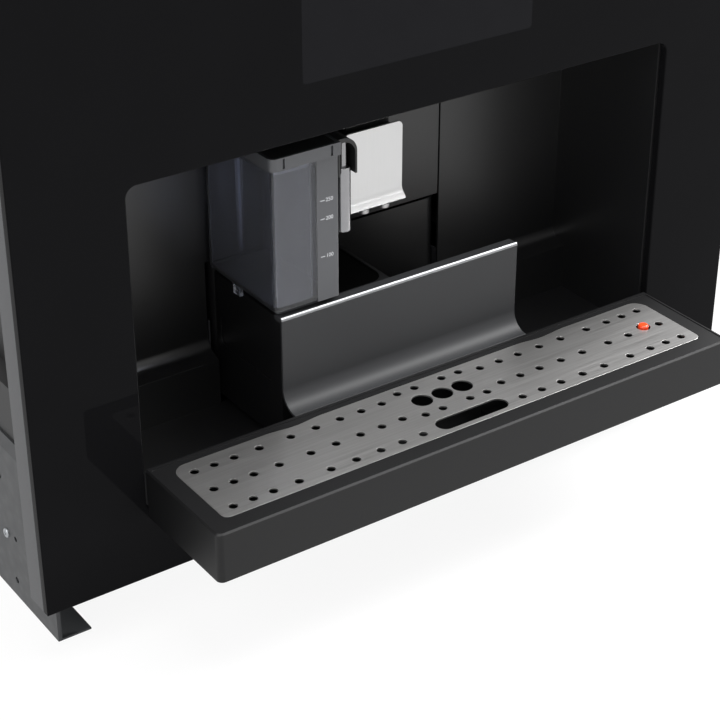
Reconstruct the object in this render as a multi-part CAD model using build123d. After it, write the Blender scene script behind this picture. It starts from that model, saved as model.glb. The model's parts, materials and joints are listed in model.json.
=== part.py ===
"""Built-in coffee machine: glass fascia with a niche, pull-out tray module, milk container and outlet.

Working frame, in millimetres: X to the right, Y back from the front plane of the fascia,
Z up from the fascia's lower edge. Each piece is written with its origin moved to the bottom
centre of the whole machine.
"""

import os
from math import cos, radians, sin, tan

from build123d import *

# ---------------------------------------------------------------- driving dimensions
# Clearances
seat_gap = 0.3  # between pieces that move past or rest on each other
running_gap = 0.08  # radial, round a pin or rod that turns or slides

# Fascia: a black glass pane on a sheet metal frame
fascia_width = 595.0
fascia_height = 455.0
fascia_depth = 25.0
glass_thickness = 6.0
glass_edge = 0.6
niche_width = 440.0
niche_bottom = 52.3
niche_top = 286.9
niche_corner = 8.0
frame_wall = 2.0
frame_flange = 40.0
seal_height = 1.0  # soft strips on the back of the flange
seal_width = 10.0
seal_inset = 4.0
display_width = 188.0
display_height = 84.0
display_place = 0.328  # share of the free band over the niche that lies below the display
display_thickness = 7.0
display_corner = 2.0
display_lip = 5.0
display_back_corner = 3.0

# Niche liner: one moulded shell with a sloped sill along its back
liner_inset = 2.0  # inner side wall behind the edge of the glass
liner_wall = 2.2
liner_floor_step = 2.3  # floor below the edge of the glass
liner_ceiling_step = 5.1  # ceiling above the edge of the glass
sill_front = 95.0
sill_height = 86.5
sill_slope = 20.0
sill_sweep = 10.0
back_wall = 110.0
module_gap_left = 4.0  # left of the milk cradle
back_panel_inset = 1.8  # inside the sides of the front panel
panel_seam = 1.2
back_panel_flange = 8.0
back_panel_gap = 4.0  # above the front panel, to the grounds box

# Pull-out module: tray, front panel, milk cradle and grounds box on one carrier
panel_width = 203.6
panel_front = 15.5
panel_sheet = 2.0
panel_top = 154.2
panel_foot_radius = 14.2
trim_height = 2.6
ledge_depth = 9.7
ledge_sheet = 3.3
ledge_step = 0.8  # ledge below the top of the bright trim
carrier_floor = 1.8
carrier_side_gap = 0.5  # inside the sides of the grounds box
carrier_end = 1.8  # stop behind the grounds box
upstand_drop = 8.5  # top of the upstand below the top of the tray
rail_width = 6.0
rail_offset = 73.0  # centre of each slide rail from the middle
grounds_front_radius = 10.0
grounds_depth = 188.0
grounds_top_gap = 1.8  # below the lower edge of the back panel
grounds_wall = 2.0
grounds_seam = 1.7
cradle_right = -4.5  # right side of the milk cradle
cradle_wall = 2.5
cradle_corner = 6.0
groove_front_inset = 12.0  # finger groove in the left side of the cradle
groove_back_inset = 10.0
groove_drop = 31.4
groove_height = 23.0
groove_depth = 1.0
cradle_step = 1.8  # cradle below the top of the bright trim
cradle_gap = 2.0  # behind the cradle, to the back wall
mat_thickness = 1.2
mat_recess = 1.5
mat_margin = 2.7
mat_corner = 12.0
mat_rim = 1.2
mat_rim_height = 0.3
rib_width = 3.0
rib_inset = 6.0

# Drip tray, grille and float
tray_side_gap = 1.0  # from the edges of the niche
tray_reach = 90.9
tray_back = 0.5
tray_foot_gap = 0.3  # lower back of the tray, in front of the glass
tray_bottom = 48.3
tray_top = 85.1
tray_corner = 4.5
tray_edge = 1.2
tray_rim = 2.6
tray_rim_height = 0.5
tray_rim_corner = 2.5
tray_floor = 4.0
ledge_width = 4.2  # ledge that the grille rests on
basin_corner = 6.0
basin_ribs = 4
basin_rib_pitch = 80.0
basin_rib_width = 2.0
basin_rib_height = 3.0
basin_rib_inset = 20.0
grille_side_margin = 14.0
grille_front_margin = 14.6
grille_back_margin = 7.2
grille_thickness = 1.5
grille_drop = 0.5  # top of the grille below the rim of the tray
grille_back_corner = 11.0
grille_front_corner = 5.5
notch_offset = 108.0
notch_length = 34.0
notch_depth = 2.0
notch_blend = 20.0
hole_diameter = 6.1
hole_columns = (43.1, 60.4, 78.1, 98.0, 118.2, 143.2, 162.9, 178.2, 193.2)
hole_rows = (-18.5, -43.0, -66.9)
centre_columns = (11.9, 26.8)
centre_rows = (-14.1, -47.5)
drain_diameter = 15.3
drain_pitch = 17.5
drain_row = -31.0
finger_slot_length = 60.0
finger_slot_width = 14.0
finger_slot_row = -65.0
float_inset = 24.5  # axis inside the end of the grille
float_y = -40.0
float_hole_diameter = 10.7
float_button_diameter = 7.9
float_proud = 2.0
float_body_diameter = 17.0
float_body_height = 13.4
float_stem_diameter = 4.4
float_socket_depth = 5.0
float_body_round = 1.5
float_button_round = 1.4
float_button_height = 6.4
guide_wall = 1.5
guide_play = 1.0
guide_slot = 4.0
guide_ring = 4.0  # height of the closed ring above the slots
guide_height = 15.7

# Milk container, holder, lid and spout
hook_gap = 0.7  # between the hook and the side of the cradle
milk_right = -53.5
milk_back_gap = 3.5  # to the back wall of the niche
holder_base = 2.5  # thickness of the foot of the holder
milk_head = 24.9  # rim of the container below the top of the niche
milk_wall = 3.0
milk_corner = 5.0
milk_bottom_radius = 2.5
holder_sheet = 2.3
holder_front_width = 17.5
holder_base_inset = 4.0
hook_width = 2.8
hook_length = 8.0
hook_offset = 46.5
hook_drop = 6.0
lid_height = 9.0
lid_overhang = 3.0
lid_plug_height = 6.0
lid_cover_depth = 1.2
lid_cover_margin = 2.2
lid_slot_width = 1.6
lid_slot_depth = 1.5
lid_slot_offset = 7.0
suction_tube_diameter = 5.0
suction_tube_lift = 12.0  # above the floor of the container
suction_tube_x = -82.0
suction_tube_inset = 11.5  # axis in front of the back of the container
hood_width = 15.1
hood_front = 18.0
hood_depth = 24.0
hood_height = 27.0
hood_wall = 1.4
hood_roof = 3.0
hood_round = 11.0
spout_radius = 5.6
spout_flat = 4.6  # flat back of the spout behind its axis
spout_length = 47.0
spout_drop = 22.3  # top of the spout below the top of the lid
spout_travel = 40.0
spout_engagement = 4.0  # length of pipe left in the lowered spout
spout_end_radius = 1.0
milk_nozzle_diameter = 6.0
milk_nozzle_wall = 1.0

# Coffee outlet: plate and nozzle block on a sliding arm
plate_front = 53.0
plate_width = 49.0
plate_sheet = 1.5
plate_top = 255.0
plate_bend = 206.5
plate_tip = 197.0
plate_lip_radius = 8.0
plate_lip_angle = 48.0
plate_lip_end = 5.0
plate_corner = 4.0
outlet_travel = 28.0
block_width = 44.0
block_depth = 29.2
block_bottom = 200.0
block_top = 250.0
block_round = 3.0
nozzle_diameter = 8.0
nozzle_bore = 4.0
nozzle_drop = 13.0
nozzle_setback = 12.0  # nozzle axis behind the plate
rod_diameter = 4.0
rod_spacing = 18.0
rod_setback = 21.0
rod_engagement = 20.0  # length of rod left in the lowered block
rod_cover = 2.0  # arm above the ends of the rods
arm_width = 40.0
arm_height = 40.0
arm_top = 262.0
arm_wall = 2.0
arm_engagement = 37.0  # length of arm left in its guide when it is out
lug_height = 10.0
guide_sheet = 2.5
guide_length = 136.0
arm_travel = 95.0

# Chassis
body_inset = 17.5  # outer side of the body inside the ends of the fascia
body_bottom = -46.0
plate_sheet_metal = 1.5
plate_start = 27.0
plate_bend_height = 79.0
plate_upper = 89.0
plate_foot_width = 25.0
plate_hem_length = 6.0
plate_hem_thickness = 3.0
side_hole_positions = ((99.0, 51.0, 5.0), (83.0, 6.7, 4.0), (124.0, 5.5, 3.0))
rail_bolt_y = 88.0
rail_bolt_z = -31.0
rail_bolt_diameter = 5.0
bolt_spacing = 300.0
foot_bolt_y = 108.0
foot_bolt_inset = 14.0
foot_bolt_diameter = 6.0
screw_y = 97.0
screw_z = 4.4
screw_head_diameter = 7.0
screw_head_height = 1.6
screw_head_round = 0.7
screw_cross_length = 3.6
screw_cross_width = 0.8
screw_cross_depth = 0.8
pan_sheet = 1.2
pan_floor = -4.0
pan_upstand = 16.0
pan_vents = 8
pan_vent_x = 190.0
pan_vent_y = 120.0
bracket_leg = 16.0
bracket_depth = 38.0
bracket_sheet = 1.5
bracket_gap = 2.0
vent_slot_length = 40.0
vent_slot_width = 5.0
vent_pitch = 14.0
vent_row_y = 76.0
top_vents = 20
rear_vents = 14
rear_vent_levels = (230.0, 300.0)
deck_height = 130.0
cover_sheet = 2.0
cover_skirt_bottom = 60.0
cover_niche_gap = 2.0
cover_back_gap = 8.0
cover_works_gap = 6.5
housing_drop = 30.0  # top of the housing below the top of the fascia
housing_sheet = 1.5
housing_seal_gap = 21.5  # from the seal strips to the front of the housing
housing_liner_gap = 13.8  # between the niche liner and the back of the housing's front part
core_flange = 6.0
shelf_gap = 3.6  # above the grounds box
shelf_sheet = 2.0
shelf_side_gap = 8.5  # from the walls of the core
shelf_back_gap = 6.5
shelf_front_gap = 6.0
guide_wall_height = 110.0
drawer_wall = 1.5
drawer_end_gap = 30.2  # behind the carrier

# Service door on the left of the core
door_front = 176.0
door_back = 356.0
door_lift = 16.0  # above the deck
door_drop = 21.0  # below the top of the housing
door_overlap = 6.0
door_corner = 4.0
door_opening_corner = 5.0
door_pull_inset = 8.0
door_pull_width = 6.0
door_pull_length = 44.0
door_pull_height = 5.0
door_pull_corner = 2.9
hinge_inset = 24.0  # from the ends of the door to the hinges
hinge_axis_offset = 4.0
hinge_knuckle_radius = 3.0
hinge_pin_radius = 1.5
hinge_knuckle_length = 12.0
hinge_lug_length = 6.0

# Works behind the niche
works_front_gap = 4.3  # behind the guide of the outlet arm
works_front_reach = 66.0  # from the axis of the works to their front
brew_width = 100.0
brew_depth = 112.0
brew_base_height = 38.0
brew_corner = 6.0
brew_roof = 8.0
drop_width = 56.0
drop_depth = 32.0
drop_inset = 8.0
drop_corner = 4.0
drop_margin = 2.0
brew_chamber_radius = 26.0
brew_chamber_height = 30.0
piston_radius = 22.0
column_radius = 5.0
column_inset = 10.0
brew_top = 256.0
bridge_thickness = 10.0
bridge_depth = 48.0
bridge_corner = 8.0
grinder_top = 345.0
motor_radius = 31.0
motor_foot_height = 6.0
motor_foot_flange = 4.0
burr_radius = 46.0
burr_height = 40.0
collar_height = 5.0
collar_wall = 8.0
chute_width = 18.0
chute_height = 14.0
chute_reach = 12.0
hopper_width = 180.0
hopper_depth = 174.0
hopper_back_gap = 39.5  # to the rear cover
hopper_wall = 2.0
hopper_straight = 25.0
throat_size = 44.0
throat_height = 7.0
throat_corner = 6.0
hopper_flange = 8.0
hopper_corner = 10.0
hopper_play = 1.0  # round the hopper in its mouth
hopper_lid_height = 5.0
hopper_lid_skirt = 8.0
hopper_pull_length = 60.0
hopper_pull_width = 20.0
hopper_pull_depth = 3.0
lid_edge_round = 1.5
lid_skirt_wall = 2.0
works_gap = 6.0  # from the legs of the shelf to what stands on it
boiler_size = (76.0, 96.0, 44.0)
boiler_corner = 8.0
boiler_side_gap = 4.0  # from the pipe stubs to the brewing group
boiler_fins = 6
fin_thickness = 4.0
fin_height = 14.0
fin_side_inset = 6.0
fin_end_inset = 12.0
boiler_stub_radius = 5.0
boiler_stub_length = 12.0
boiler_stub_inset = 20.0
pump_radius = 20.0
pump_length = 78.0
pump_barrel_radius = 14.0
pump_setback = 34.0
pump_lift = 6.0
coil_inset = 18.0
coil_length = 34.0
pump_stub_radius = 6.0
pump_stub_length = 12.0
pump_foot_width = 8.0
pump_foot_depth = 28.0
pump_foot_pitch = 18.0
board_size = (120.0, 60.0, 1.6)
board_standoff = 8.0
board_left = 18.0
board_setback = 6.0
standoff_radius = 3.0
standoff_inset = 5.0
transformer_place = (8.0, 14.0)
transformer_size = (32.0, 30.0, 26.0)
relays = 4
relay_place = (50.0, 10.0)
relay_size = (11.0, 16.0, 15.0)
relay_pitch = 17.0
sink_fins = 5
sink_place = (52.0, 34.0)
sink_fin_size = (2.0, 20.0, 18.0)
sink_pitch = 6.0

# Water tank on the right of the core
tank_gap = 6.0
tank_width = 102.0
tank_front_gap = 9.0  # behind the front part of the housing
tank_depth = 265.0
tank_height = 122.0
tank_wall = 2.5
tank_corner = 9.0
tank_lid_height = 8.0
tank_lid_skirt = 6.0
tank_bottom_round = 2.0
tank_notch_length = 36.0
tank_notch_width = 12.0
tank_notch_floor = 2.0
tank_valve_radius = 14.0
tank_valve_height = 5.0
tank_valve_setback = 40.0
tank_valve_bore = 4.0
tank_valve_round = 1.2
tank_valve_floor = 1.0
sump_lift = 0.5  # foot of the sump above the foot of the tank

# Mains inlet
inlet_width = 48.0
inlet_height = 28.0
inlet_depth = 24.0
inlet_x = -215.0
inlet_z = 66.0
inlet_corner = 3.0
socket_width = 24.0
socket_height = 16.0
socket_corner = 4.0
socket_floor = 6.0
inlet_blade_pitch = 7.0
inlet_blade_width = 2.0
inlet_blade_height = 4.0
inlet_blade_end = 19.0
inlet_blade_rises = (-1.5, 2.0, -1.5)

# ---------------------------------------------------------------- sizes that follow
niche_half = niche_width / 2
panel_half = panel_width / 2
cradle_left = seat_gap - panel_half
opening_left = cradle_left - module_gap_left
back_panel_half = panel_half - back_panel_inset
liner_half = niche_half - liner_inset
liner_floor = niche_bottom - liner_floor_step
liner_ceiling = niche_top + liner_ceiling_step
collar_top = liner_ceiling + liner_wall + seat_gap + frame_wall
display_free = fascia_height - frame_wall - collar_top - display_height - 2 * display_lip
display_bottom = collar_top + display_lip + display_place * display_free
opening_right = back_panel_half + panel_seam
back_panel_bottom = panel_top + back_panel_gap
grounds_half = opening_right - grounds_seam
grounds_top = back_panel_bottom - grounds_top_gap
carrier_half = grounds_half - carrier_side_gap
fascia_half = fascia_width / 2
body_half = fascia_half - body_inset
cover_half = body_half - plate_sheet_metal - cover_sheet
boiler_reach = boiler_side_gap + boiler_stub_length + boiler_size[0] + works_gap
shelf_half = brew_width / 2 + boiler_reach + shelf_sheet
shelf_height = grounds_top + shelf_gap + shelf_sheet
core_half = shelf_half + shelf_side_gap + housing_sheet
rail_top = niche_bottom
carrier_bottom = rail_top + seat_gap
carrier_top = carrier_bottom + carrier_floor
carrier_front = tray_back + seat_gap
cradle_back = back_wall - cradle_gap
cradle_top = panel_top - cradle_step
cradle_front = panel_front + panel_sheet
ledge_top = panel_top - ledge_step
ledge_back = cradle_front + ledge_depth - panel_sheet
mat_top = cradle_top - mat_recess + mat_thickness
tray_half = niche_half - tray_side_gap
grille_half = tray_half - grille_side_margin
grille_front = grille_front_margin - tray_reach
float_x = grille_half - float_inset
grille_back = tray_back - grille_back_margin
basin_floor = tray_bottom + tray_floor
grille_top = tray_top - grille_drop
grille_bottom = grille_top - grille_thickness
ledge_level = grille_bottom - seat_gap
milk_left = cradle_left - hook_gap - hook_width
milk_front = cradle_front
milk_bottom = panel_top + seat_gap + holder_base
milk_rim = niche_top - milk_head
milk_back = back_wall - milk_back_gap
milk_clear_right = milk_right - holder_sheet
suction_tube_end = milk_bottom + suction_tube_lift
suction_tube_y = milk_back - suction_tube_inset
lid_bottom = milk_rim + seat_gap
lid_top_level = lid_bottom + lid_height
hood_left = milk_right + seat_gap
hood_right = hood_left + hood_width
spout_top = lid_top_level - spout_drop
spout_x = hood_left + hood_wall + seat_gap + spout_radius
spout_y = hood_front + spout_radius + 0.6
block_front = plate_front + plate_sheet
arm_bottom = arm_top - arm_height
arm_front = block_front + block_depth + seat_gap
rod_y = block_front + rod_setback
guide_front = back_wall + liner_wall + housing_sheet
drawer_back = back_wall + grounds_depth + carrier_end + drawer_end_gap
works_axis_y = guide_front + guide_length + works_front_gap + works_front_reach
core_back = works_axis_y + hopper_depth / 2 + hopper_back_gap
body_back = core_back + housing_sheet
shelf_back = core_back - shelf_back_gap
housing_top = fascia_height - housing_drop
housing_front_depth = back_wall + liner_wall + housing_liner_gap
door_bottom = deck_height + door_lift
door_top = housing_top - door_drop
hinge_x = -core_half - hinge_axis_offset
hinge_y = door_back + 5.0
tank_left = core_half + tank_gap
tank_right = tank_left + tank_width
tank_front = housing_front_depth + tank_front_gap
tank_back = tank_front + tank_depth
shift = Pos(0, (tray_reach - body_back) / 2, -body_bottom)


# ---------------------------------------------------------------- shared helpers
def block(x, y, z):
    """A box from its (low, high) pairs along X, Y and Z."""
    size = (x[1] - x[0], y[1] - y[0], z[1] - z[0])
    middle = ((x[0] + x[1]) / 2, (y[0] + y[1]) / 2, (z[0] + z[1]) / 2)
    return Pos(*middle) * Box(*size)


def along_x(face, low, high):
    """A prism along X from a face drawn with (Y, Z) coordinates."""
    return extrude(Plane.YZ.offset(low) * face, amount=high - low)


def along_y(face, low, high):
    """A prism along Y from a face drawn with (X, Z) coordinates."""
    return extrude(Plane.XZ.offset(-high) * face, amount=high - low)


def along_z(face, low, high):
    """A prism along Z from a face drawn with (X, Y) coordinates."""
    return extrude(Plane.XY.offset(low) * face, amount=high - low)


def rod_z(x, y, radius, low, high):
    """A round bar along Z."""
    return along_z(Pos(x, y) * Circle(radius), low, high)


def rod_x(y, z, radius, low, high):
    """A round bar along X."""
    return along_x(Pos(y, z) * Circle(radius), low, high)


def rectangle(x, y, radius=0.0):
    """A rectangular face from (low, high) pairs, with rounded corners if a radius is given."""
    place = Pos((x[0] + x[1]) / 2, (y[0] + y[1]) / 2)
    if radius > 0:
        return place * RectangleRounded(x[1] - x[0], y[1] - y[0], radius)
    return place * Rectangle(x[1] - x[0], y[1] - y[0])


def mirrored(shape):
    """The shape together with its mirror image across the middle plane."""
    return Part() + [shape, mirror(shape, about=Plane.YZ)]


def slot_rows(count, pitch, length, width, turned=0.0):
    """Parallel slots in a row, centred on the origin of their sketch."""
    start = -pitch * (count - 1) / 2
    slots = [Pos(start + n * pitch, 0) * Rot(0, 0, 90) * SlotOverall(length, width) for n in range(count)]
    return Rot(0, 0, turned) * (Sketch() + slots)


def write(name, shape):
    """Writes one piece, moved to the frame of the whole machine."""
    export_step(shift * shape, f"parts/{name}.step")


# ---------------------------------------------------------------- fascia
def niche_outline(grow=0.0):
    """Outline of the niche opening in the glass, grown by a margin."""
    width = (-niche_half - grow, niche_half + grow)
    height = (niche_bottom - grow, niche_top + grow)
    return rectangle(width, height, niche_corner + grow)


def make_fascia_glass():
    """Glass pane with the niche cut out and its front edges ground."""
    outline = rectangle((-fascia_half, fascia_half), (0, fascia_height))
    pane = along_y(outline - niche_outline(), 0, glass_thickness)
    return chamfer(pane.edges().group_by(Axis.Y)[0], glass_edge)


def make_fascia_frame():
    """Sheet frame behind the glass: front plate, outer wall, rear flange and a collar round the liner."""
    half = fascia_half
    front = glass_thickness
    plate = rectangle((-half, half), (0, fascia_height))
    pocket = rectangle((frame_wall - half, half - frame_wall), (frame_wall, fascia_height - frame_wall))
    window_half = half - frame_flange
    window = rectangle((-window_half, window_half), (frame_flange, fascia_height - frame_flange))
    frame = along_y(plate, front, fascia_depth)
    frame -= along_y(pocket, front + frame_wall, fascia_depth - frame_wall)
    frame -= along_y(window, fascia_depth - frame_wall, fascia_depth)
    reach = liner_half + liner_wall + seat_gap
    hole_z = (liner_floor - liner_wall - seat_gap, liner_ceiling + liner_wall + seat_gap)
    hole = rectangle((-reach, reach), hole_z)
    collar_z = (hole_z[0] - frame_wall, hole_z[1] + frame_wall)
    collar = rectangle((-reach - frame_wall, reach + frame_wall), collar_z)
    frame += along_y(collar, front, fascia_depth - frame_wall)
    frame -= along_y(hole, front, fascia_depth)
    screen_z = (display_bottom, display_bottom + display_height)
    screen = rectangle((-display_width / 2, display_width / 2), screen_z, display_corner)
    return frame - along_y(screen, front, front + frame_wall)


def make_fascia_seals():
    """Two upright soft strips on the flange, which lie against the front of the cabinet."""
    outer = fascia_half - seal_inset
    span = rectangle((outer - seal_width, outer), (frame_flange, fascia_height - frame_flange))
    strip = along_y(span, fascia_depth, fascia_depth + seal_height)
    return mirrored(strip)


def make_display_module():
    """Display behind its window in the frame, with a wider back that seats on the frame's front plate."""
    screen_x = (seat_gap - display_width / 2, display_width / 2 - seat_gap)
    screen_z = (display_bottom + seat_gap, display_bottom + display_height - seat_gap)
    front = glass_thickness
    screen = along_y(rectangle(screen_x, screen_z, display_corner), front, front + frame_wall)
    back_x = (screen_x[0] - display_lip, screen_x[1] + display_lip)
    back_z = (screen_z[0] - display_lip, screen_z[1] + display_lip)
    back = rectangle(back_x, back_z, display_back_corner)
    return screen + along_y(back, front + frame_wall, front + frame_wall + display_thickness)


# ---------------------------------------------------------------- niche
def liner_profile():
    """Side section of the niche: floor, low back wall, sloped sill, sweep and high back wall."""
    slope = radians(sill_slope)
    run = back_wall - sill_front - sill_sweep * (1 - sin(slope))
    sweep_start = (sill_front + run, sill_height + run * tan(slope))
    sweep_end = (back_wall, sweep_start[1] + sill_sweep * cos(slope))
    front = glass_thickness
    lines = [
        Line((front, liner_floor), (sill_front, liner_floor)),
        Line((sill_front, liner_floor), (sill_front, sill_height)),
        Line((sill_front, sill_height), sweep_start),
        TangentArc(sweep_start, sweep_end, tangent=(cos(slope), sin(slope))),
        Line(sweep_end, (back_wall, liner_ceiling)),
        Line((back_wall, liner_ceiling), (front, liner_ceiling)),
        Line((front, liner_ceiling), (front, liner_floor)),
    ]
    return make_face(lines)


def make_niche_liner():
    """Moulded shell of the niche, open at the front and behind the module and the centre panel."""
    inside = liner_profile()
    outside = offset(inside, amount=liner_wall, kind=Kind.INTERSECTION)
    outer_half = liner_half + liner_wall
    liner = along_x(outside, -outer_half, outer_half) - along_x(inside, -liner_half, liner_half)
    liner -= block((-fascia_width, fascia_width), (-fascia_depth, glass_thickness), (0, fascia_height))
    deep = (sill_front - 1, back_wall + liner_wall + 1)
    liner -= block((opening_left, opening_right), deep, (liner_floor, back_panel_bottom))
    return liner - block((-opening_right, opening_right), deep, (back_panel_bottom - 1, liner_ceiling))


def arm_opening(grow):
    """Opening that the outlet arm passes through, as (X, Z) pairs grown by a gap."""
    return (-arm_width / 2 - grow, arm_width / 2 + grow), (arm_bottom - grow, arm_top + grow)


def make_centre_back_panel():
    """Upper centre panel of the niche's back, seated behind the liner by its flange."""
    height = (back_panel_bottom, liner_ceiling - seat_gap)
    seat = back_wall + liner_wall
    face = block((-back_panel_half, back_panel_half), (back_wall, seat), height)
    flange_half = back_panel_half + back_panel_flange
    flange = block((-flange_half, flange_half), (seat, seat + housing_sheet), height)
    opening_x, opening_z = arm_opening(seat_gap)
    return face + flange - block(opening_x, (back_wall - 1, seat + 5), opening_z)


# ---------------------------------------------------------------- chassis
def make_side_plate():
    """Left side plate: a bent sheet with a foot flange, a joggled top edge and a hemmed front edge."""
    sheet = plate_sheet_metal
    out = -body_half
    inner = out + sheet
    seat = -cover_half
    outline = Polyline(
        (out, body_bottom),
        (out, plate_bend_height),
        (seat - sheet, plate_upper),
        (seat, plate_upper),
        (inner, plate_bend_height),
        (inner, body_bottom + sheet),
        (out + plate_foot_width, body_bottom + sheet),
        (out + plate_foot_width, body_bottom),
        close=True,
    )
    plate = along_y(make_face(outline), plate_start, core_back)
    hem_x = (out, out + plate_hem_thickness)
    plate += block(hem_x, (plate_start, plate_start + plate_hem_length), (body_bottom, plate_bend_height))
    through = (out - 1, inner + 1)
    holes = [(y, z, size) for y, z, size in side_hole_positions]
    holes += [(y + bolt_spacing, z, size) for y, z, size in side_hole_positions]
    holes += [(rail_bolt_y + n * bolt_spacing, rail_bolt_z, rail_bolt_diameter) for n in range(2)]
    for y, z, size in holes:
        plate -= rod_x(y, z, size / 2, *through)
    for n in range(2):
        hole = (out + foot_bolt_inset, foot_bolt_y + n * bolt_spacing)
        plate -= rod_z(*hole, foot_bolt_diameter / 2, body_bottom - 1, body_bottom + sheet + 1)
    return plate


def make_base_pan():
    """Floor pan between the side plates, with turned-up edges and rows of air slots."""
    half = body_half - plate_hem_thickness
    y = (fascia_depth, core_back)
    pan = block((-half, half), y, (pan_floor, pan_floor + pan_upstand))
    pocket_x = (pan_sheet - half, half - pan_sheet)
    pocket_y = (y[0] + pan_sheet, y[1] - pan_sheet)
    pan -= block(pocket_x, pocket_y, (pan_floor + pan_sheet, pan_floor + pan_upstand + 1))
    slots = slot_rows(pan_vents, vent_pitch, vent_slot_length, vent_slot_width)
    for place in ((-pan_vent_x, pan_vent_y), (pan_vent_x, pan_vent_y)):
        pan -= along_z(Pos(*place) * slots, pan_floor - 1, pan_floor + pan_sheet + 1)
    return pan


def make_body_cover():
    """Low black cover: flat deck with side skirts, cut out for the niche and the works."""
    under = deck_height - cover_sheet
    y = (fascia_depth, core_back)
    cover = block((-cover_half, cover_half), y, (cover_skirt_bottom, deck_height))
    cover -= block((cover_sheet - cover_half, cover_half - cover_sheet), (y[0] - 1, y[1] + 1), (0, under))
    niche_reach = liner_half + liner_wall + cover_niche_gap
    niche_y = (0, back_wall + cover_back_gap)
    cover -= block((-niche_reach, niche_reach), niche_y, (under - 1, deck_height + 1))
    works_reach = grounds_half + cover_works_gap
    return cover - block((-works_reach, works_reach), (back_wall, shelf_back), (under - 1, deck_height + 1))


def make_upper_housing():
    """Wide housing round the niche, open in front and towards the works, with air slots on top."""
    sheet = housing_sheet
    half = fascia_half - seal_inset - seal_width - housing_seal_gap
    depth = (fascia_depth, housing_front_depth)
    inner_z = (deck_height, housing_top - sheet)
    shell = block((-half, half), depth, (deck_height, housing_top))
    shell -= block((sheet - half, half - sheet), (fascia_depth, housing_front_depth - sheet), inner_z)
    shell -= block((sheet - core_half, core_half - sheet), depth, inner_z)
    vents = Pos(0, vent_row_y) * slot_rows(top_vents, vent_pitch, vent_slot_length, vent_slot_width)
    return shell - along_z(vents, housing_top - sheet, housing_top)


def make_core_cover():
    """Narrow housing over the works, with a mouth for the hopper, a door opening and hinge lugs."""
    sheet = housing_sheet
    depth = (housing_front_depth, core_back)
    shell = block((-core_half, core_half), depth, (deck_height, housing_top))
    flange_half = core_half + core_flange
    flange_y = (housing_front_depth, housing_front_depth + sheet)
    shell += block((-flange_half, flange_half), flange_y, (deck_height, housing_top))
    shell -= block((sheet - core_half, core_half - sheet), depth, (deck_height, housing_top - sheet))
    opening_x = hopper_width / 2 + hopper_play
    opening_y = hopper_depth / 2 + hopper_play
    mouth_y = (works_axis_y - opening_y, works_axis_y + opening_y)
    mouth = rectangle((-opening_x, opening_x), mouth_y, hopper_corner)
    shell -= along_z(mouth, housing_top - sheet, housing_top)
    door_y = (door_front + door_overlap, door_back - door_overlap)
    door_z = (door_bottom + door_overlap, door_top - door_overlap)
    shell -= along_x(rectangle(door_y, door_z, door_opening_corner), -core_half, sheet - core_half)
    for low in hinge_levels():
        for lug in (low - seat_gap - hinge_lug_length, low + hinge_knuckle_length + seat_gap):
            lug_z = (lug, lug + hinge_lug_length)
            lug_y = (hinge_y - hinge_knuckle_radius, hinge_y + hinge_knuckle_radius)
            shell += block((hinge_x - hinge_knuckle_radius, -core_half), lug_y, lug_z)
            shell -= rod_z(hinge_x, hinge_y, hinge_pin_radius, *lug_z)
    return shell


def hinge_levels():
    """Lower end of each of the two knuckles of the service door."""
    return (door_bottom + hinge_inset, door_top - hinge_inset - hinge_knuckle_length)


def make_service_door():
    """Sheet door over the service opening, with two knuckles and a finger pull."""
    outer = -core_half - seat_gap - housing_sheet
    inner = -core_half - seat_gap
    door = along_x(rectangle((door_front, door_back), (door_bottom, door_top), door_corner), outer, inner)
    middle = (door_bottom + door_top) / 2
    pull_y = (door_front + door_pull_inset, door_front + door_pull_inset + door_pull_width)
    pull_z = (middle - door_pull_length / 2, middle + door_pull_length / 2)
    door += along_x(rectangle(pull_y, pull_z, door_pull_corner), outer - door_pull_height, outer)
    edge = hinge_x + hinge_knuckle_radius
    for low in hinge_levels():
        level = (low, low + hinge_knuckle_length)
        door += block((outer - 0.5, edge), (door_back - 4, hinge_y), level)
        door += rod_z(hinge_x, hinge_y, hinge_knuckle_radius, *level)
        door -= rod_z(hinge_x, hinge_y, hinge_pin_radius + running_gap, *level)
    return door


def make_door_hinge_pins():
    """Two pins held in the lugs of the housing."""
    reach = seat_gap + hinge_lug_length
    pins = []
    for low in hinge_levels():
        top = low + hinge_knuckle_length + reach
        pins.append(rod_z(hinge_x, hinge_y, hinge_pin_radius, low - reach, top))
    return Part() + pins


def make_rear_cover():
    """Back sheet of the machine, wide below and narrow above, with air slots and the inlet cut-out."""
    top_half = core_half
    outline = Polyline(
        (-body_half, pan_floor),
        (body_half, pan_floor),
        (body_half, plate_upper),
        (cover_half, plate_upper),
        (cover_half, deck_height),
        (top_half, deck_height),
        (top_half, housing_top),
        (-top_half, housing_top),
        (-top_half, deck_height),
        (-cover_half, deck_height),
        (-cover_half, plate_upper),
        (-body_half, plate_upper),
        close=True,
    )
    cover = make_face(outline)
    for level in rear_vent_levels:
        cover -= Pos(0, level) * slot_rows(rear_vents, vent_pitch, vent_slot_length, vent_slot_width)
    cover -= Pos(inlet_x, inlet_z) * RectangleRounded(inlet_width, inlet_height, inlet_corner)
    return along_y(cover, core_back, body_back)


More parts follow.
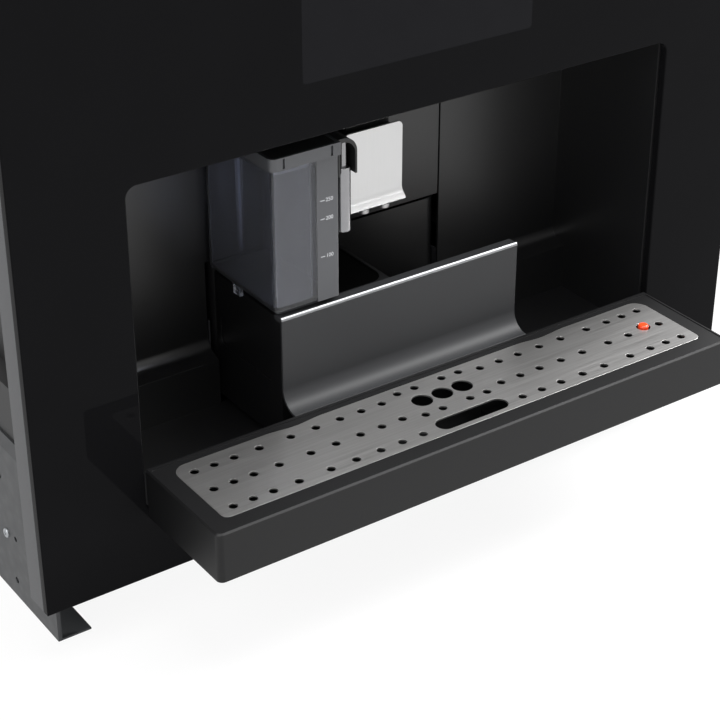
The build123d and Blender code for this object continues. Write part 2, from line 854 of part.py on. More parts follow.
def make_power_inlet():
    """Three-blade mains inlet let into the rear cover."""
    width = inlet_width - 2 * seat_gap
    height = inlet_height - 2 * seat_gap
    front = core_back - inlet_depth
    outline = Pos(inlet_x, inlet_z) * RectangleRounded(width, height, inlet_corner)
    mouth = Pos(inlet_x, inlet_z) * RectangleRounded(socket_width, socket_height, socket_corner)
    body = along_y(outline, front, body_back) - along_y(mouth, front + socket_floor, body_back)
    blade = Rectangle(inlet_blade_width, inlet_blade_height)
    for n, rise in enumerate(inlet_blade_rises):
        place = Pos(inlet_x + (n - 1) * inlet_blade_pitch, inlet_z + rise)
        body += along_y(place * blade, front + socket_floor - 1, front + inlet_blade_end)
    return body


def make_fascia_brackets():
    """Two angle brackets that join the fascia frame to the side plates."""
    outer = body_half - plate_hem_thickness
    level = (pan_floor + pan_upstand, cover_skirt_bottom - bracket_gap)
    leg = block((outer - bracket_leg, outer), (fascia_depth, fascia_depth + bracket_sheet), level)
    side = block((outer - bracket_sheet, outer), (fascia_depth, fascia_depth + bracket_depth), level)
    return mirrored(leg + side)


def make_plate_screws():
    """Cross-head screws that fasten the side plates to the floor pan, two on each side."""
    screws = []
    for y in (screw_y, screw_y + bolt_spacing):
        crown = -body_half - screw_head_height
        head = rod_x(y, screw_z, screw_head_diameter / 2, crown, -body_half)
        head = fillet(head.edges().group_by(Axis.X)[0], screw_head_round)
        arm = Rectangle(screw_cross_length, screw_cross_width)
        cross = Pos(y, screw_z) * (arm + Rot(0, 0, 90) * arm)
        head -= along_x(cross, crown - 1, crown + screw_cross_depth)
        screws.append(head)
    return mirrored(Part() + screws)


def make_drawer_guide():
    """Channel behind the niche that carries the rails and guides the grounds box."""
    inner = opening_right + seat_gap
    outer = inner + drawer_wall
    front = back_wall + liner_wall + seat_gap
    floor = block((-inner, inner), (front, drawer_back), (liner_floor - drawer_wall, liner_floor))
    wall = block((inner, outer), (front, drawer_back), (pan_floor + pan_sheet, guide_wall_height))
    stop_z = (pan_floor + pan_sheet, guide_wall_height)
    return floor + mirrored(wall) + block((-outer, outer), (drawer_back, drawer_back + drawer_wall), stop_z)


def make_slide_rails():
    """Two low rails that the carrier of the module slides on."""
    side = (rail_offset - rail_width / 2, rail_offset + rail_width / 2)
    rail = block(side, (glass_thickness + 2, drawer_back), (liner_floor, rail_top))
    return mirrored(rail)


def drop_hole(margin=0.0):
    """Outline of the opening that the grounds fall through, grown by a margin."""
    half = drop_width / 2 + margin
    front = works_axis_y - works_front_reach + drop_inset - margin
    return rectangle((-half, half), (front, front + drop_depth + 2 * margin), drop_corner)


def make_works_shelf():
    """Shelf over the grounds box that carries the brewing works, with the drop opening for the grounds."""
    half = shelf_half
    front = back_wall + shelf_front_gap
    shelf = block((-half, half), (front, shelf_back), (shelf_height - shelf_sheet, shelf_height))
    leg = block((half - shelf_sheet, half), (front, shelf_back), (deck_height, shelf_height))
    shelf += mirrored(leg)
    return shelf - along_z(drop_hole(drop_margin), shelf_height - shelf_sheet, shelf_height)


# ---------------------------------------------------------------- works
def make_brew_unit():
    """Brewing group: base, chamber, two columns and the bridge that holds the piston."""
    base_top = shelf_height + brew_base_height
    chamber_top = base_top + brew_chamber_height
    bridge_bottom = brew_top - bridge_thickness
    front = works_axis_y - works_front_reach
    half = brew_width / 2
    base = rectangle((-half, half), (front, front + brew_depth), brew_corner)
    unit = along_z(base, shelf_height, base_top)
    unit -= along_z(drop_hole(), shelf_height, base_top - brew_roof)
    middle = front + brew_depth / 2
    unit += rod_z(0, middle, brew_chamber_radius, base_top, chamber_top)
    unit += rod_z(0, middle, piston_radius, chamber_top, bridge_bottom)
    for x in (column_inset - half, half - column_inset):
        unit += rod_z(x, middle, column_radius, base_top, bridge_bottom)
    bridge_y = (middle - bridge_depth / 2, middle + bridge_depth / 2)
    return unit + along_z(rectangle((-half, half), bridge_y, bridge_corner), bridge_bottom, brew_top)


def make_grinder():
    """Grinder on the bridge of the brewing group: motor, burr housing and hopper collar."""
    burr_top = grinder_top - collar_height
    burr_bottom = burr_top - burr_height
    foot_top = brew_top + motor_foot_height
    body = rod_z(0, works_axis_y, motor_radius + motor_foot_flange, brew_top, foot_top)
    body += rod_z(0, works_axis_y, motor_radius, foot_top, burr_bottom)
    body += rod_z(0, works_axis_y, burr_radius, burr_bottom, burr_top)
    body += rod_z(0, works_axis_y, throat_size / 2 + collar_wall, burr_top, grinder_top)
    chute_x = (-chute_width / 2, chute_width / 2)
    chute_y = (works_axis_y - burr_radius - chute_reach, works_axis_y)
    return body + block(chute_x, chute_y, (burr_bottom, burr_bottom + chute_height))


def hopper_form(inset):
    """Inner or outer solid of the bean hopper, inset by a wall."""
    half_x = hopper_width / 2 - inset
    half_y = hopper_depth / 2 - inset
    top = housing_top + inset
    slope_top = housing_top - hopper_straight
    slope_bottom = grinder_top + throat_height
    mouth = Pos(0, works_axis_y) * RectangleRounded(2 * half_x, 2 * half_y, hopper_corner - inset)
    throat_side = throat_size - 2 * inset
    throat = Pos(0, works_axis_y) * RectangleRounded(throat_side, throat_side, throat_corner - inset)
    form = along_z(mouth, slope_top, top)
    form += loft([Pos(0, 0, slope_bottom) * throat, Pos(0, 0, slope_top) * mouth], ruled=True)
    return form + along_z(throat, grinder_top - inset, slope_bottom)


def make_bean_hopper():
    """Bean hopper: straight mouth, funnel, throat and a rim that rests on the housing."""
    hopper = hopper_form(0)
    hopper += along_z(hopper_outline(hopper_flange), housing_top, housing_top + hopper_wall)
    return hopper - hopper_form(hopper_wall)


def hopper_outline(grow):
    """Rounded outline of the hopper's mouth, grown or shrunk by a margin."""
    size = (hopper_width + 2 * grow, hopper_depth + 2 * grow)
    return Pos(0, works_axis_y) * RectangleRounded(*size, hopper_corner + grow)


def make_hopper_lid():
    """Lid of the bean hopper, with a plug below and a finger recess on top."""
    base = housing_top + hopper_wall + seat_gap
    lid = along_z(hopper_outline(hopper_flange), base, base + hopper_lid_height)
    lid = fillet(lid.edges().group_by(Axis.Z)[-1], lid_edge_round)
    inset = hopper_wall + seat_gap
    ring = hopper_outline(-inset) - hopper_outline(-inset - lid_skirt_wall)
    lid += along_z(ring, base - hopper_lid_skirt, base)
    recess = Pos(0, works_axis_y) * SlotOverall(hopper_pull_length, hopper_pull_width)
    top = base + hopper_lid_height
    return lid - along_z(recess, top - hopper_pull_depth, top + 1)


def make_boiler():
    """Cast heating block with cooling fins and two pipe stubs."""
    width, depth, height = boiler_size
    left = shelf_half - shelf_sheet - works_gap - width
    front = works_axis_y - works_front_reach
    top = shelf_height + height
    outline = rectangle((left, left + width), (front, front + depth), boiler_corner)
    boiler = along_z(outline, shelf_height, top)
    pitch = (depth - 2 * fin_end_inset) / (boiler_fins - 1)
    fin_x = (left + fin_side_inset, left + width - fin_side_inset)
    for n in range(boiler_fins):
        y = front + fin_end_inset + n * pitch
        boiler += block(fin_x, (y - fin_thickness / 2, y + fin_thickness / 2), (top, top + fin_height))
    stub_z = shelf_height + boiler_stub_inset
    for y in (front + boiler_stub_inset, front + depth - boiler_stub_inset):
        boiler += rod_x(y, stub_z, boiler_stub_radius, left - boiler_stub_length, left)
    return boiler


def make_pump():
    """Vibration pump: coil box, barrel and outlet stub on two feet."""
    y = shelf_back - pump_setback
    z = shelf_height + pump_radius + pump_lift
    left = works_gap + shelf_sheet - shelf_half
    pump = rod_x(y, z, pump_barrel_radius, left, left + pump_length)
    coil_x = (left + coil_inset, left + coil_inset + coil_length)
    pump += block(coil_x, (y - pump_radius, y + pump_radius), (z - pump_radius, z + pump_radius))
    pump += rod_x(y, z, pump_stub_radius, left + pump_length, left + pump_length + pump_stub_length)
    foot_y = (y - pump_foot_depth / 2, y + pump_foot_depth / 2)
    middle = left + coil_inset + coil_length / 2
    for n in (-1, 1):
        x = middle + n * pump_foot_pitch / 2 - pump_foot_width / 2
        pump += block((x, x + pump_foot_width), foot_y, (shelf_height, z - pump_radius))
    return pump


def board_part(place, size, level, shift=0.0):
    """A box on the control board, placed from the front left corner of the board."""
    left = board_left + place[0] + shift
    front = shelf_back - board_setback - board_size[1] + place[1]
    return block((left, left + size[0]), (front, front + size[1]), (level, level + size[2]))


def make_control_board():
    """Control board on four stand-offs, with a transformer, relays and a heat sink."""
    width, depth, sheet = board_size
    level = shelf_height + board_standoff
    board = board_part((0, 0), board_size, level)
    front = shelf_back - board_setback - depth
    for x in (board_left + standoff_inset, board_left + width - standoff_inset):
        for y in (front + standoff_inset, front + depth - standoff_inset):
            board += rod_z(x, y, standoff_radius, shelf_height, level)
    top = level + sheet
    board += board_part(transformer_place, transformer_size, top)
    for n in range(relays):
        board += board_part(relay_place, relay_size, top, n * relay_pitch)
    for n in range(sink_fins):
        board += board_part(sink_place, sink_fin_size, top, n * sink_pitch)
    return board


# ---------------------------------------------------------------- water tank
def make_water_tank():
    """Open water tank with rounded corners, a sump for the valve and a hollow grip at the front."""
    base = deck_height + seat_gap
    top = base + tank_height
    outer = rectangle((tank_left, tank_right), (tank_front, tank_back), tank_corner)
    wall = tank_wall
    inner_x = (tank_left + wall, tank_right - wall)
    inner = rectangle(inner_x, (tank_front + wall, tank_back - wall), tank_corner - wall)
    tank = along_z(outer, base, top)
    tank = fillet(tank.edges().group_by(Axis.Z)[0], tank_bottom_round)
    tank -= along_z(inner, base + wall, top + 1)
    x, y = tank_valve_place()
    sump_radius = tank_valve_radius + seat_gap
    tank += rod_z(x, y, sump_radius + wall, base + sump_lift, base + tank_valve_height + wall)
    return tank - rod_z(x, y, sump_radius, base, base + tank_valve_height)


def tank_valve_place():
    """Centre of the valve under the tank."""
    return ((tank_left + tank_right) / 2, tank_back - tank_valve_setback)


def make_tank_valve():
    """Valve seat on the deck that enters the sump of the tank."""
    x, y = tank_valve_place()
    valve = rod_z(x, y, tank_valve_radius, deck_height, deck_height + tank_valve_height - seat_gap)
    valve = fillet(valve.edges().group_by(Axis.Z)[-1], tank_valve_round)
    bore_z = (deck_height + tank_valve_floor, deck_height + tank_valve_height)
    return valve - rod_z(x, y, tank_valve_bore, *bore_z)


def make_tank_lid():
    """Lid that lifts off the tank, with a skirt inside the walls and a finger notch."""
    base = deck_height + 2 * seat_gap + tank_height
    outline = rectangle((tank_left, tank_right), (tank_front, tank_back), tank_corner)
    lid = along_z(outline, base, base + tank_lid_height)
    lid = fillet(lid.edges().group_by(Axis.Z)[-1], lid_edge_round)
    inset = tank_wall + seat_gap
    skirt_x = (tank_left + inset, tank_right - inset)
    skirt_y = (tank_front + inset, tank_back - inset)
    skirt = rectangle(skirt_x, skirt_y, tank_corner - tank_wall)
    hollow_x = (skirt_x[0] + lid_skirt_wall, skirt_x[1] - lid_skirt_wall)
    hollow_y = (skirt_y[0] + lid_skirt_wall, skirt_y[1] - lid_skirt_wall)
    hollow = rectangle(hollow_x, hollow_y, tank_corner - tank_wall - lid_skirt_wall)
    lid += along_z(skirt - hollow, base - tank_lid_skirt, base)
    notch = Pos((tank_left + tank_right) / 2, tank_front) * SlotOverall(tank_notch_length, tank_notch_width)
    return lid - along_z(notch, base + tank_notch_floor, base + tank_lid_height)


# ---------------------------------------------------------------- tray, grille and float
def grille_outline(grow=0.0):
    """Outline of the grille plate with a shallow blended notch near each corner of the front panel."""
    half = grille_half + grow
    front = grille_front - grow
    back = grille_back + grow
    face = rectangle((-half, half), (front, back))
    face = fillet(face.vertices().group_by(Axis.Y)[-1], grille_back_corner + grow)
    face = fillet(face.vertices().group_by(Axis.Y)[0], grille_front_corner + grow)
    reach = notch_length / 2
    radius = (reach**2 + notch_depth**2) / (2 * notch_depth)
    for side in (-1, 1):
        face -= Pos(side * notch_offset, back + radius - notch_depth) * Circle(radius)
    corners = face.vertices().group_by(Axis.Y)[-1]
    ends = [v for v in corners if abs(abs(v.X) - notch_offset) < 2 * reach]
    return fillet(ends, notch_blend)


def grille_holes():
    """All openings of the grille: round drains in rows, three large drains, finger slot and float hole."""
    radius = hole_diameter / 2
    places = []
    for row, y in enumerate(hole_rows):
        for x in hole_columns:
            for side in (-1, 1):
                if Vector(side * x - float_x, y - float_y).length > float_hole_diameter:
                    places.append((side * x, y))
    places += [(side * x, y) for y in centre_rows for x in centre_columns for side in (-1, 1)]
    holes = [Pos(x, y) * Circle(radius) for x, y in places]
    holes += [Pos(n * drain_pitch, drain_row) * Circle(drain_diameter / 2) for n in (-1, 0, 1)]
    holes.append(Pos(0, finger_slot_row) * SlotOverall(finger_slot_length, finger_slot_width))
    holes.append(Pos(float_x, float_y) * Circle(float_hole_diameter / 2))
    return holes


def make_drip_grille():
    """Perforated plate that lies in the recess of the tray."""
    return along_z(grille_outline() - grille_holes(), grille_bottom, grille_top)


def make_drip_tray():
    """Drip tray: rounded box with a recess for the grille and a basin below it."""
    half = tray_half
    outline = rectangle((-half, half), (-tray_reach, tray_back))
    outline = fillet(outline.vertices().group_by(Axis.Y)[0], tray_corner)
    tray = along_z(outline, tray_bottom, tray_top)
    tray -= block((-half, half), (-tray_foot_gap, tray_back), (tray_bottom, niche_bottom + niche_corner))
    rim = [e for e in tray.edges().group_by(Axis.Z)[-1] if e.center().Y < tray_back - 0.1]
    tray = chamfer(rim, tray_edge)
    deck_x = (tray_rim - half, half - tray_rim)
    deck = rectangle(deck_x, (tray_rim - tray_reach, tray_back - tray_rim), tray_rim_corner)
    tray -= along_z(deck, tray_top - tray_rim_height, tray_top)
    tray -= along_z(grille_outline(seat_gap), ledge_level, tray_top + 1)
    basin_half = grille_half - ledge_width
    basin_y = (grille_front + ledge_width, grille_back - ledge_width)
    basin = rectangle((-basin_half, basin_half), basin_y, basin_corner)
    tray -= along_z(basin, basin_floor, tray_top)
    rib_y = (grille_front + basin_rib_inset, grille_back - basin_rib_inset)
    for n in range(basin_ribs):
        x = (n - (basin_ribs - 1) / 2) * basin_rib_pitch
        rib_x = (x - basin_rib_width / 2, x + basin_rib_width / 2)
        tray += block(rib_x, rib_y, (basin_floor - 1, basin_floor + basin_rib_height))
    return tray


def make_float_guide():
    """Slotted cup on the basin floor that keeps the float upright."""
    inner = float_body_diameter / 2 + guide_play
    guide = rod_z(float_x, float_y, inner + guide_wall, basin_floor, basin_floor + guide_height)
    guide -= rod_z(float_x, float_y, inner, basin_floor, basin_floor + guide_height)
    reach = inner + guide_wall
    slot_z = (basin_floor, basin_floor + guide_height - guide_ring)
    slot = block((-reach, reach), (-guide_slot / 2, guide_slot / 2), slot_z)
    return guide - Pos(float_x, float_y) * slot


def float_levels():
    """Bottom and top of the float's body, and bottom and top of its button, when the tray is empty."""
    base = basin_floor + seat_gap
    button_top = grille_top + float_proud
    return base, base + float_body_height, button_top - float_button_height, button_top


def make_level_float():
    """Body of the level float, with a socket for the stem of its button."""
    bottom, top = float_levels()[:2]
    body = rod_z(float_x, float_y, float_body_diameter / 2, bottom, top)
    body = fillet(body.edges(), float_body_round)
    socket_radius = float_stem_diameter / 2 + running_gap
    return body - rod_z(float_x, float_y, socket_radius, top - float_socket_depth, top)


def make_float_button():
    """Stem and domed button of the float, which show in the grille."""
    body_top, low, top = float_levels()[1:]
    button = rod_z(float_x, float_y, float_button_diameter / 2, low, top)
    button = fillet(button.edges().group_by(Axis.Z)[-1], float_button_round)
    return button + rod_z(float_x, float_y, float_stem_diameter / 2, body_top - float_socket_depth, low)


# ---------------------------------------------------------------- pull-out module
def make_centre_panel():
    """Front panel: upright sheet, concave foot that meets the tray, and a ledge behind its top edge."""
    front = panel_front
    back = panel_front + panel_sheet
    foot_end = tray_back + seat_gap
    radius = panel_foot_radius
    foot_level = tray_top - 0.1
    start = front - radius
    sheet_top = panel_top - trim_height
    lines = [
        Line((front, sheet_top), (front, foot_level + radius)),
        TangentArc((front, foot_level + radius), (start, foot_level), tangent=(0, -1)),
        Line((start, foot_level), (foot_end, foot_level)),
        Line((foot_end, foot_level), (foot_end, foot_level - panel_sheet)),
        Line((foot_end, foot_level - panel_sheet), (start, foot_level - panel_sheet)),
        TangentArc((start, foot_level - panel_sheet), (back, foot_level + radius), tangent=(1, 0)),
        Line((back, foot_level + radius), (back, ledge_top - ledge_sheet)),
        Line((back, ledge_top - ledge_sheet), (ledge_back, ledge_top - ledge_sheet)),
        Line((ledge_back, ledge_top - ledge_sheet), (ledge_back, ledge_top)),
        Line((ledge_back, ledge_top), (back, ledge_top)),
        Line((back, ledge_top), (back, sheet_top)),
        Line((back, sheet_top), (front, sheet_top)),
    ]
    return along_x(make_face(lines), -panel_half, panel_half)


def make_panel_edge_trim():
    """Bright strip along the top edge of the front panel, with its front corner cut back."""
    depth = (panel_front, panel_front + panel_sheet)
    trim = block((-panel_half, panel_half), depth, (panel_top - trim_height, panel_top))
    front_top = trim.edges().filter_by(Axis.X).group_by(Axis.Z)[-1].sort_by(Axis.Y)[0]
    return chamfer(front_top, 1.0)


def make_module_carrier():
    """Floor of the module with an upstand behind the tray, the right wall of the well and a rear stop."""
    half = carrier_half
    back = back_wall + grounds_depth + carrier_end
    sheet = carrier_floor
    carrier = block((-half, half), (carrier_front, back), (carrier_bottom, carrier_top))
    upstand_z = (carrier_bottom, tray_top - upstand_drop)
    carrier += block((-half, half), (carrier_front, carrier_front + sheet), upstand_z)
    wall_z = (carrier_bottom, ledge_top - ledge_sheet)
    carrier += block((half - sheet, half), (cradle_front, back_wall - 0.5), wall_z)
    stop_y = back_wall + grounds_depth
    return carrier + block((-half, half), (stop_y, back), (carrier_bottom, carrier_top + 16))


def make_milk_cradle():
    """Hollow block under the milk container, stepped under the ledge and recessed for the mat."""
    cradle = block((cradle_left, cradle_right), (cradle_front, cradle_back), (carrier_top, cradle_top))
    cradle = fillet(cradle.edges().filter_by(Axis.Z).group_by(Axis.Y)[-1], cradle_corner)
    step_z = (ledge_top - ledge_sheet, cradle_top + 1)
    cradle -= block((cradle_left, cradle_right), (cradle_front, ledge_back), step_z)
    inner_x = (cradle_left + cradle_wall, cradle_right - cradle_wall)
    inner_y = (cradle_front + cradle_wall, cradle_back - cradle_wall)
    cradle -= block(inner_x, inner_y, (carrier_top, ledge_top - ledge_sheet - cradle_wall))
    cradle -= along_z(mat_outline(seat_gap), cradle_top - mat_recess, cradle_top + 1)
    groove_y = (cradle_front + groove_front_inset, cradle_back - groove_back_inset)
    groove_z = (cradle_top - groove_drop - groove_height, cradle_top - groove_drop)
    groove = rectangle(groove_y, groove_z, cradle_corner)
    return cradle - along_x(groove, cradle_left, cradle_left + groove_depth)


def mat_outline(grow=0.0):
    """Rounded outline of the mat on the cradle, grown by a gap."""
    x = (cradle_left + mat_margin - grow, cradle_right - mat_margin + grow)
    y = (ledge_back + mat_margin - grow, cradle_back - mat_margin + grow)
    return rectangle(x, y, mat_corner + grow)


def make_cradle_mat():
    """Glossy mat with a raised rim, and two ribs that the milk container slides on."""
    bottom = cradle_top - mat_recess
    mat = along_z(mat_outline(), bottom, mat_top)
    mat -= along_z(mat_outline(-mat_rim), mat_top - mat_rim_height, mat_top + 1)
    left = milk_left + holder_base_inset + rib_inset
    right = milk_clear_right - rib_inset
    rib_y = (ledge_back + mat_corner, cradle_back - mat_corner)
    for x in (left, right - rib_width):
        mat += block((x, x + rib_width), rib_y, (mat_top - mat_rim_height, panel_top))
    return mat


def make_grounds_box():
    """Open box for the spent grounds; its front closes the niche and has rounded upright edges."""
    base = carrier_top
    front = back_wall
    outer = rectangle((-grounds_half, grounds_half), (front, front + grounds_depth))
    outer = fillet(outer.vertices().group_by(Axis.Y)[0], grounds_front_radius)
    wall = grounds_wall
    inner_x = (wall - grounds_half, grounds_half - wall)
    inner = rectangle(inner_x, (front + wall, front + grounds_depth - wall))
    inner = fillet(inner.vertices().group_by(Axis.Y)[0], grounds_front_radius - wall)
    return along_z(outer, base, grounds_top) - along_z(inner, base + wall, grounds_top)


# ---------------------------------------------------------------- milk container
def make_milk_container():
    """Clear container with thick walls, stepped at the front right for the holder and hooked at the left."""
    outline = rectangle((milk_left, milk_clear_right), (milk_front, milk_back))
    outline = fillet(outline.vertices().group_by(Axis.X)[0], milk_corner)
    body = along_z(outline, milk_bottom, milk_rim)
    step_left = milk_right - holder_front_width
    step = (milk_front, milk_front + holder_sheet)
    body = fillet(body.edges().group_by(Axis.Z)[0], milk_bottom_radius)
    body -= block((step_left, milk_clear_right), step, (milk_bottom, milk_rim))
    wall = milk_wall
    inner_x = (milk_left + wall, milk_clear_right - wall)
    inner_z = (milk_bottom + wall + 0.5, milk_rim + 1)
    inner = rectangle(inner_x, (step[1] + wall, milk_back - wall))
    inner = fillet(inner.vertices().group_by(Axis.X)[0], milk_corner - wall)
    body -= along_z(inner, *inner_z)
    nook = rectangle((inner_x[0], step_left - wall), (milk_front + wall, step[1] + wall + 1))
    body -= along_z(nook, *inner_z)
    hook_y = (milk_front + hook_offset, milk_front + hook_offset + hook_length)
    hook_z = (milk_bottom - hook_drop, milk_bottom + milk_bottom_radius + 1)
    return body + block((milk_left, milk_left + hook_width), hook_y, hook_z)


def make_milk_holder():
    """Grey holder of the container: base plate, right wall and the narrow front with the level marks."""
    base_top = milk_bottom
    bottom = panel_top + seat_gap
    inset = holder_base_inset
    base_x = (milk_left + inset, milk_clear_right)
    base = block(base_x, (milk_front + inset, milk_back - inset), (bottom, base_top))
    base = fillet(base.edges().filter_by(Axis.Z), 3)
    wall_z = (milk_bottom, milk_rim)
    wall = block((milk_clear_right, milk_right), (milk_front, milk_back), wall_z)
    front_x = (milk_right - holder_front_width, milk_right)
    front = block(front_x, (milk_front, milk_front + holder_sheet), wall_z)
    link_x = (milk_clear_right - holder_sheet, milk_right)
    link = block(link_x, (milk_front + inset, milk_back - inset), (bottom, base_top))
    holder = base + link + wall + front
    corner = [e for e in holder.edges().filter_by(Axis.Z) if e.center().X > milk_right - 0.1]
    corner = [e for e in corner if e.center().Y < milk_front + 0.1]
    return fillet(corner, 1.2)


def make_milk_lid():
    """Lid frame of the container: band with two latch slots, plug below and a recess for the top cover."""
    x = (milk_left - lid_overhang, milk_right)
    y = (milk_front - lid_overhang, milk_back + 1.0)
    band = rectangle(x, y)
    band = fillet(band.vertices().group_by(Axis.X)[0], milk_corner)
    lid = along_z(band, lid_bottom, lid_top_level)
    cover = cover_outline(x, y, lid_cover_margin)
    lid -= along_z(cover, lid_top_level - lid_cover_depth, lid_top_level + 1)
    gap = milk_wall + seat_gap
    plug_x = (milk_left + gap, milk_clear_right - gap)
    plug_y = (milk_front + holder_sheet + gap, milk_back - gap)
    lid += along_z(rectangle(plug_x, plug_y, 2), lid_bottom - lid_plug_height, lid_bottom)
    for slot_x in (milk_left + lid_slot_offset, milk_right - lid_slot_offset):
        slot_span = (slot_x - lid_slot_width / 2, slot_x + lid_slot_width / 2)
        lid -= block(slot_span, (y[0], y[0] + lid_slot_depth), (lid_bottom + 1, lid_top_level - 1))
    return lid


def cover_outline(x, y, margin):
    """Outline of the dark cover on the lid, inside the band by a margin."""
    return rectangle((x[0] + margin, x[1] - margin), (y[0] + margin, y[1] - margin), milk_corner - 2)


def make_milk_lid_cover():
    """Dark plate that fills the recess on the lid, with a finger dip."""
    x = (milk_left - lid_overhang, milk_right)
    y = (milk_front - lid_overhang, milk_back + 1.0)
    cover = cover_outline(x, y, lid_cover_margin + 0.05)
    plate = along_z(cover, lid_top_level - lid_cover_depth, lid_top_level - 0.2)
    dip = Pos((x[0] + x[1]) / 2, y[1] - 22) * SlotOverall(26, 12)
    return plate - along_z(dip, lid_top_level - lid_cover_depth + 0.4, lid_top_level)


def make_suction_tube():
    """Milk suction tube below the lid."""
    top = lid_bottom - lid_plug_height
    tube = rod_z(suction_tube_x, suction_tube_y, suction_tube_diameter / 2, suction_tube_end, top)
    return tube - rod_z(suction_tube_x, suction_tube_y, 1.5, suction_tube_end, top - 2)


def make_milk_hood():
    """Hood over the milk spout: rounded to the right, open in front and below."""
    top = lid_top_level
    bottom = top - hood_height
    outline = rectangle((hood_left, hood_right), (bottom, top))
    outline = fillet(outline.vertices().group_by(Axis.X)[-1].group_by(Axis.Y)[-1], hood_round)
    hood = along_y(outline, hood_front, hood_front + hood_depth)
    wall = hood_wall
    inner = rectangle((hood_left + wall, hood_right - wall), (bottom - 1, top - hood_roof))
    inner = fillet(inner.vertices().group_by(Axis.X)[-1].group_by(Axis.Y)[-1], hood_round - wall)
    return hood - along_y(inner, hood_front, hood_front + hood_depth - wall)


def make_milk_nozzle():
    """Fixed milk pipe inside the hood that the spout slides on."""
    radius = milk_nozzle_diameter / 2
    low = spout_top - spout_travel - spout_engagement
    pipe = rod_z(spout_x, spout_y, radius, low, lid_top_level - hood_roof)
    pipe -= rod_z(spout_x, spout_y, radius - milk_nozzle_wall, low, lid_top_level - hood_roof - 5)
    return pipe - make_milk_hood()


def make_milk_spout():
    """Half-round spout sleeve that slides down the milk pipe."""
    low = spout_top - spout_length
    reach = 2 * spout_radius
    behind = rectangle((-reach, reach), (spout_flat, spout_flat + reach))
    outline = Pos(spout_x, spout_y) * (Circle(spout_radius) - behind)
    sleeve = along_z(outline, low, spout_top)
    sleeve = fillet(sleeve.edges().group_by(Axis.Z)[0], spout_end_radius)
    return sleeve - rod_z(spout_x, spout_y, milk_nozzle_diameter / 2 + running_gap, low, spout_top)


# ---------------------------------------------------------------- coffee outlet
def make_outlet_plate():
    """Steel plate of the outlet: flat above, bent forwards into a lip with a turned-down end."""
    angle = radians(plate_lip_angle)
    radius = plate_lip_radius
    middle = plate_front + plate_sheet / 2
    bend = (middle, plate_bend)
    bend_end = (middle - radius * (1 - cos(angle)), plate_bend - radius * sin(angle))
    drop = bend_end[1] - plate_tip - plate_sheet / 2
    end = (bend_end[0] - drop * tan(angle), plate_tip + plate_sheet / 2)
    path = [
        Line((middle, plate_top), bend),
        TangentArc(bend, bend_end, tangent=(0, -1)),
        Line(bend_end, end),
    ]
    section = trace(path, line_width=plate_sheet)
    half = plate_width / 2
    plate = along_x(section, -half, half)
    silhouette = rectangle((-half, half), (plate_tip - 1, plate_top), plate_corner)
    return plate & along_y(silhouette, end[0] - plate_lip_end, plate_front + plate_lip_end)


def make_nozzle_block():
    """Block behind the plate that holds the nozzles and slides on the two rods."""
    half = block_width / 2
    body = block((-half, half), (block_front, block_front + block_depth), (block_bottom, block_top))
    body = fillet(body.edges().filter_by(Axis.Z).group_by(Axis.Y)[-1], block_round)
    for x in (-rod_spacing / 2, rod_spacing / 2):
        body -= rod_z(x, rod_y, rod_diameter / 2 + running_gap, block_bottom, block_top)
    return body


def make_outlet_nozzles():
    """Three short nozzles under the block: coffee left and right, hot water in the middle."""
    y = plate_front + nozzle_setback
    nozzles = []
    for n in (-1, 0, 1):
        x = n * drain_pitch
        tube = rod_z(x, y, nozzle_diameter / 2, block_bottom - nozzle_drop, block_bottom)
        tube -= rod_z(x, y, nozzle_bore / 2, block_bottom - nozzle_drop, block_bottom - 1)
        nozzles.append(tube)
    return Part() + nozzles


def make_outlet_rods():
    """Two rods fixed in the lug of the arm, which the nozzle block slides on."""
    bottom = block_top - outlet_travel - rod_engagement
    rods = []
    for x in (-rod_spacing / 2, rod_spacing / 2):
        rods.append(rod_z(x, rod_y, rod_diameter / 2, bottom, arm_top - rod_cover))
    return Part() + rods


def make_outlet_arm():
    """Hollow arm with a lug in front that holds the rods."""
    x = (-arm_width / 2, arm_width / 2)
    z = (arm_bottom, arm_top)
    back = guide_front + arm_engagement + arm_travel
    arm = block(x, (arm_front, back), z)
    inner_x = (x[0] + arm_wall, x[1] - arm_wall)
    arm -= block(inner_x, (arm_front + arm_wall, back), (z[0] + arm_wall, z[1] - arm_wall))
    lug_z = (arm_top - lug_height, arm_top)
    arm += block((x[0] + 2, x[1] - 2), (block_front + 6, arm_front), lug_z)
    for rod_x_place in (-rod_spacing / 2, rod_spacing / 2):
        arm -= rod_z(rod_x_place, rod_y, rod_diameter / 2, lug_z[0], arm_top - rod_cover)
    return arm


def make_outlet_guide():
    """Square guide tube behind the centre panel that the arm slides in."""
    opening_x, opening_z = arm_opening(seat_gap)
    outer_x = (opening_x[0] - guide_sheet, opening_x[1] + guide_sheet)
    outer_z = (opening_z[0] - guide_sheet, opening_z[1] + guide_sheet)
    y = (guide_front, guide_front + guide_length)
    return block(outer_x, y, outer_z) - block(opening_x, y, opening_z)


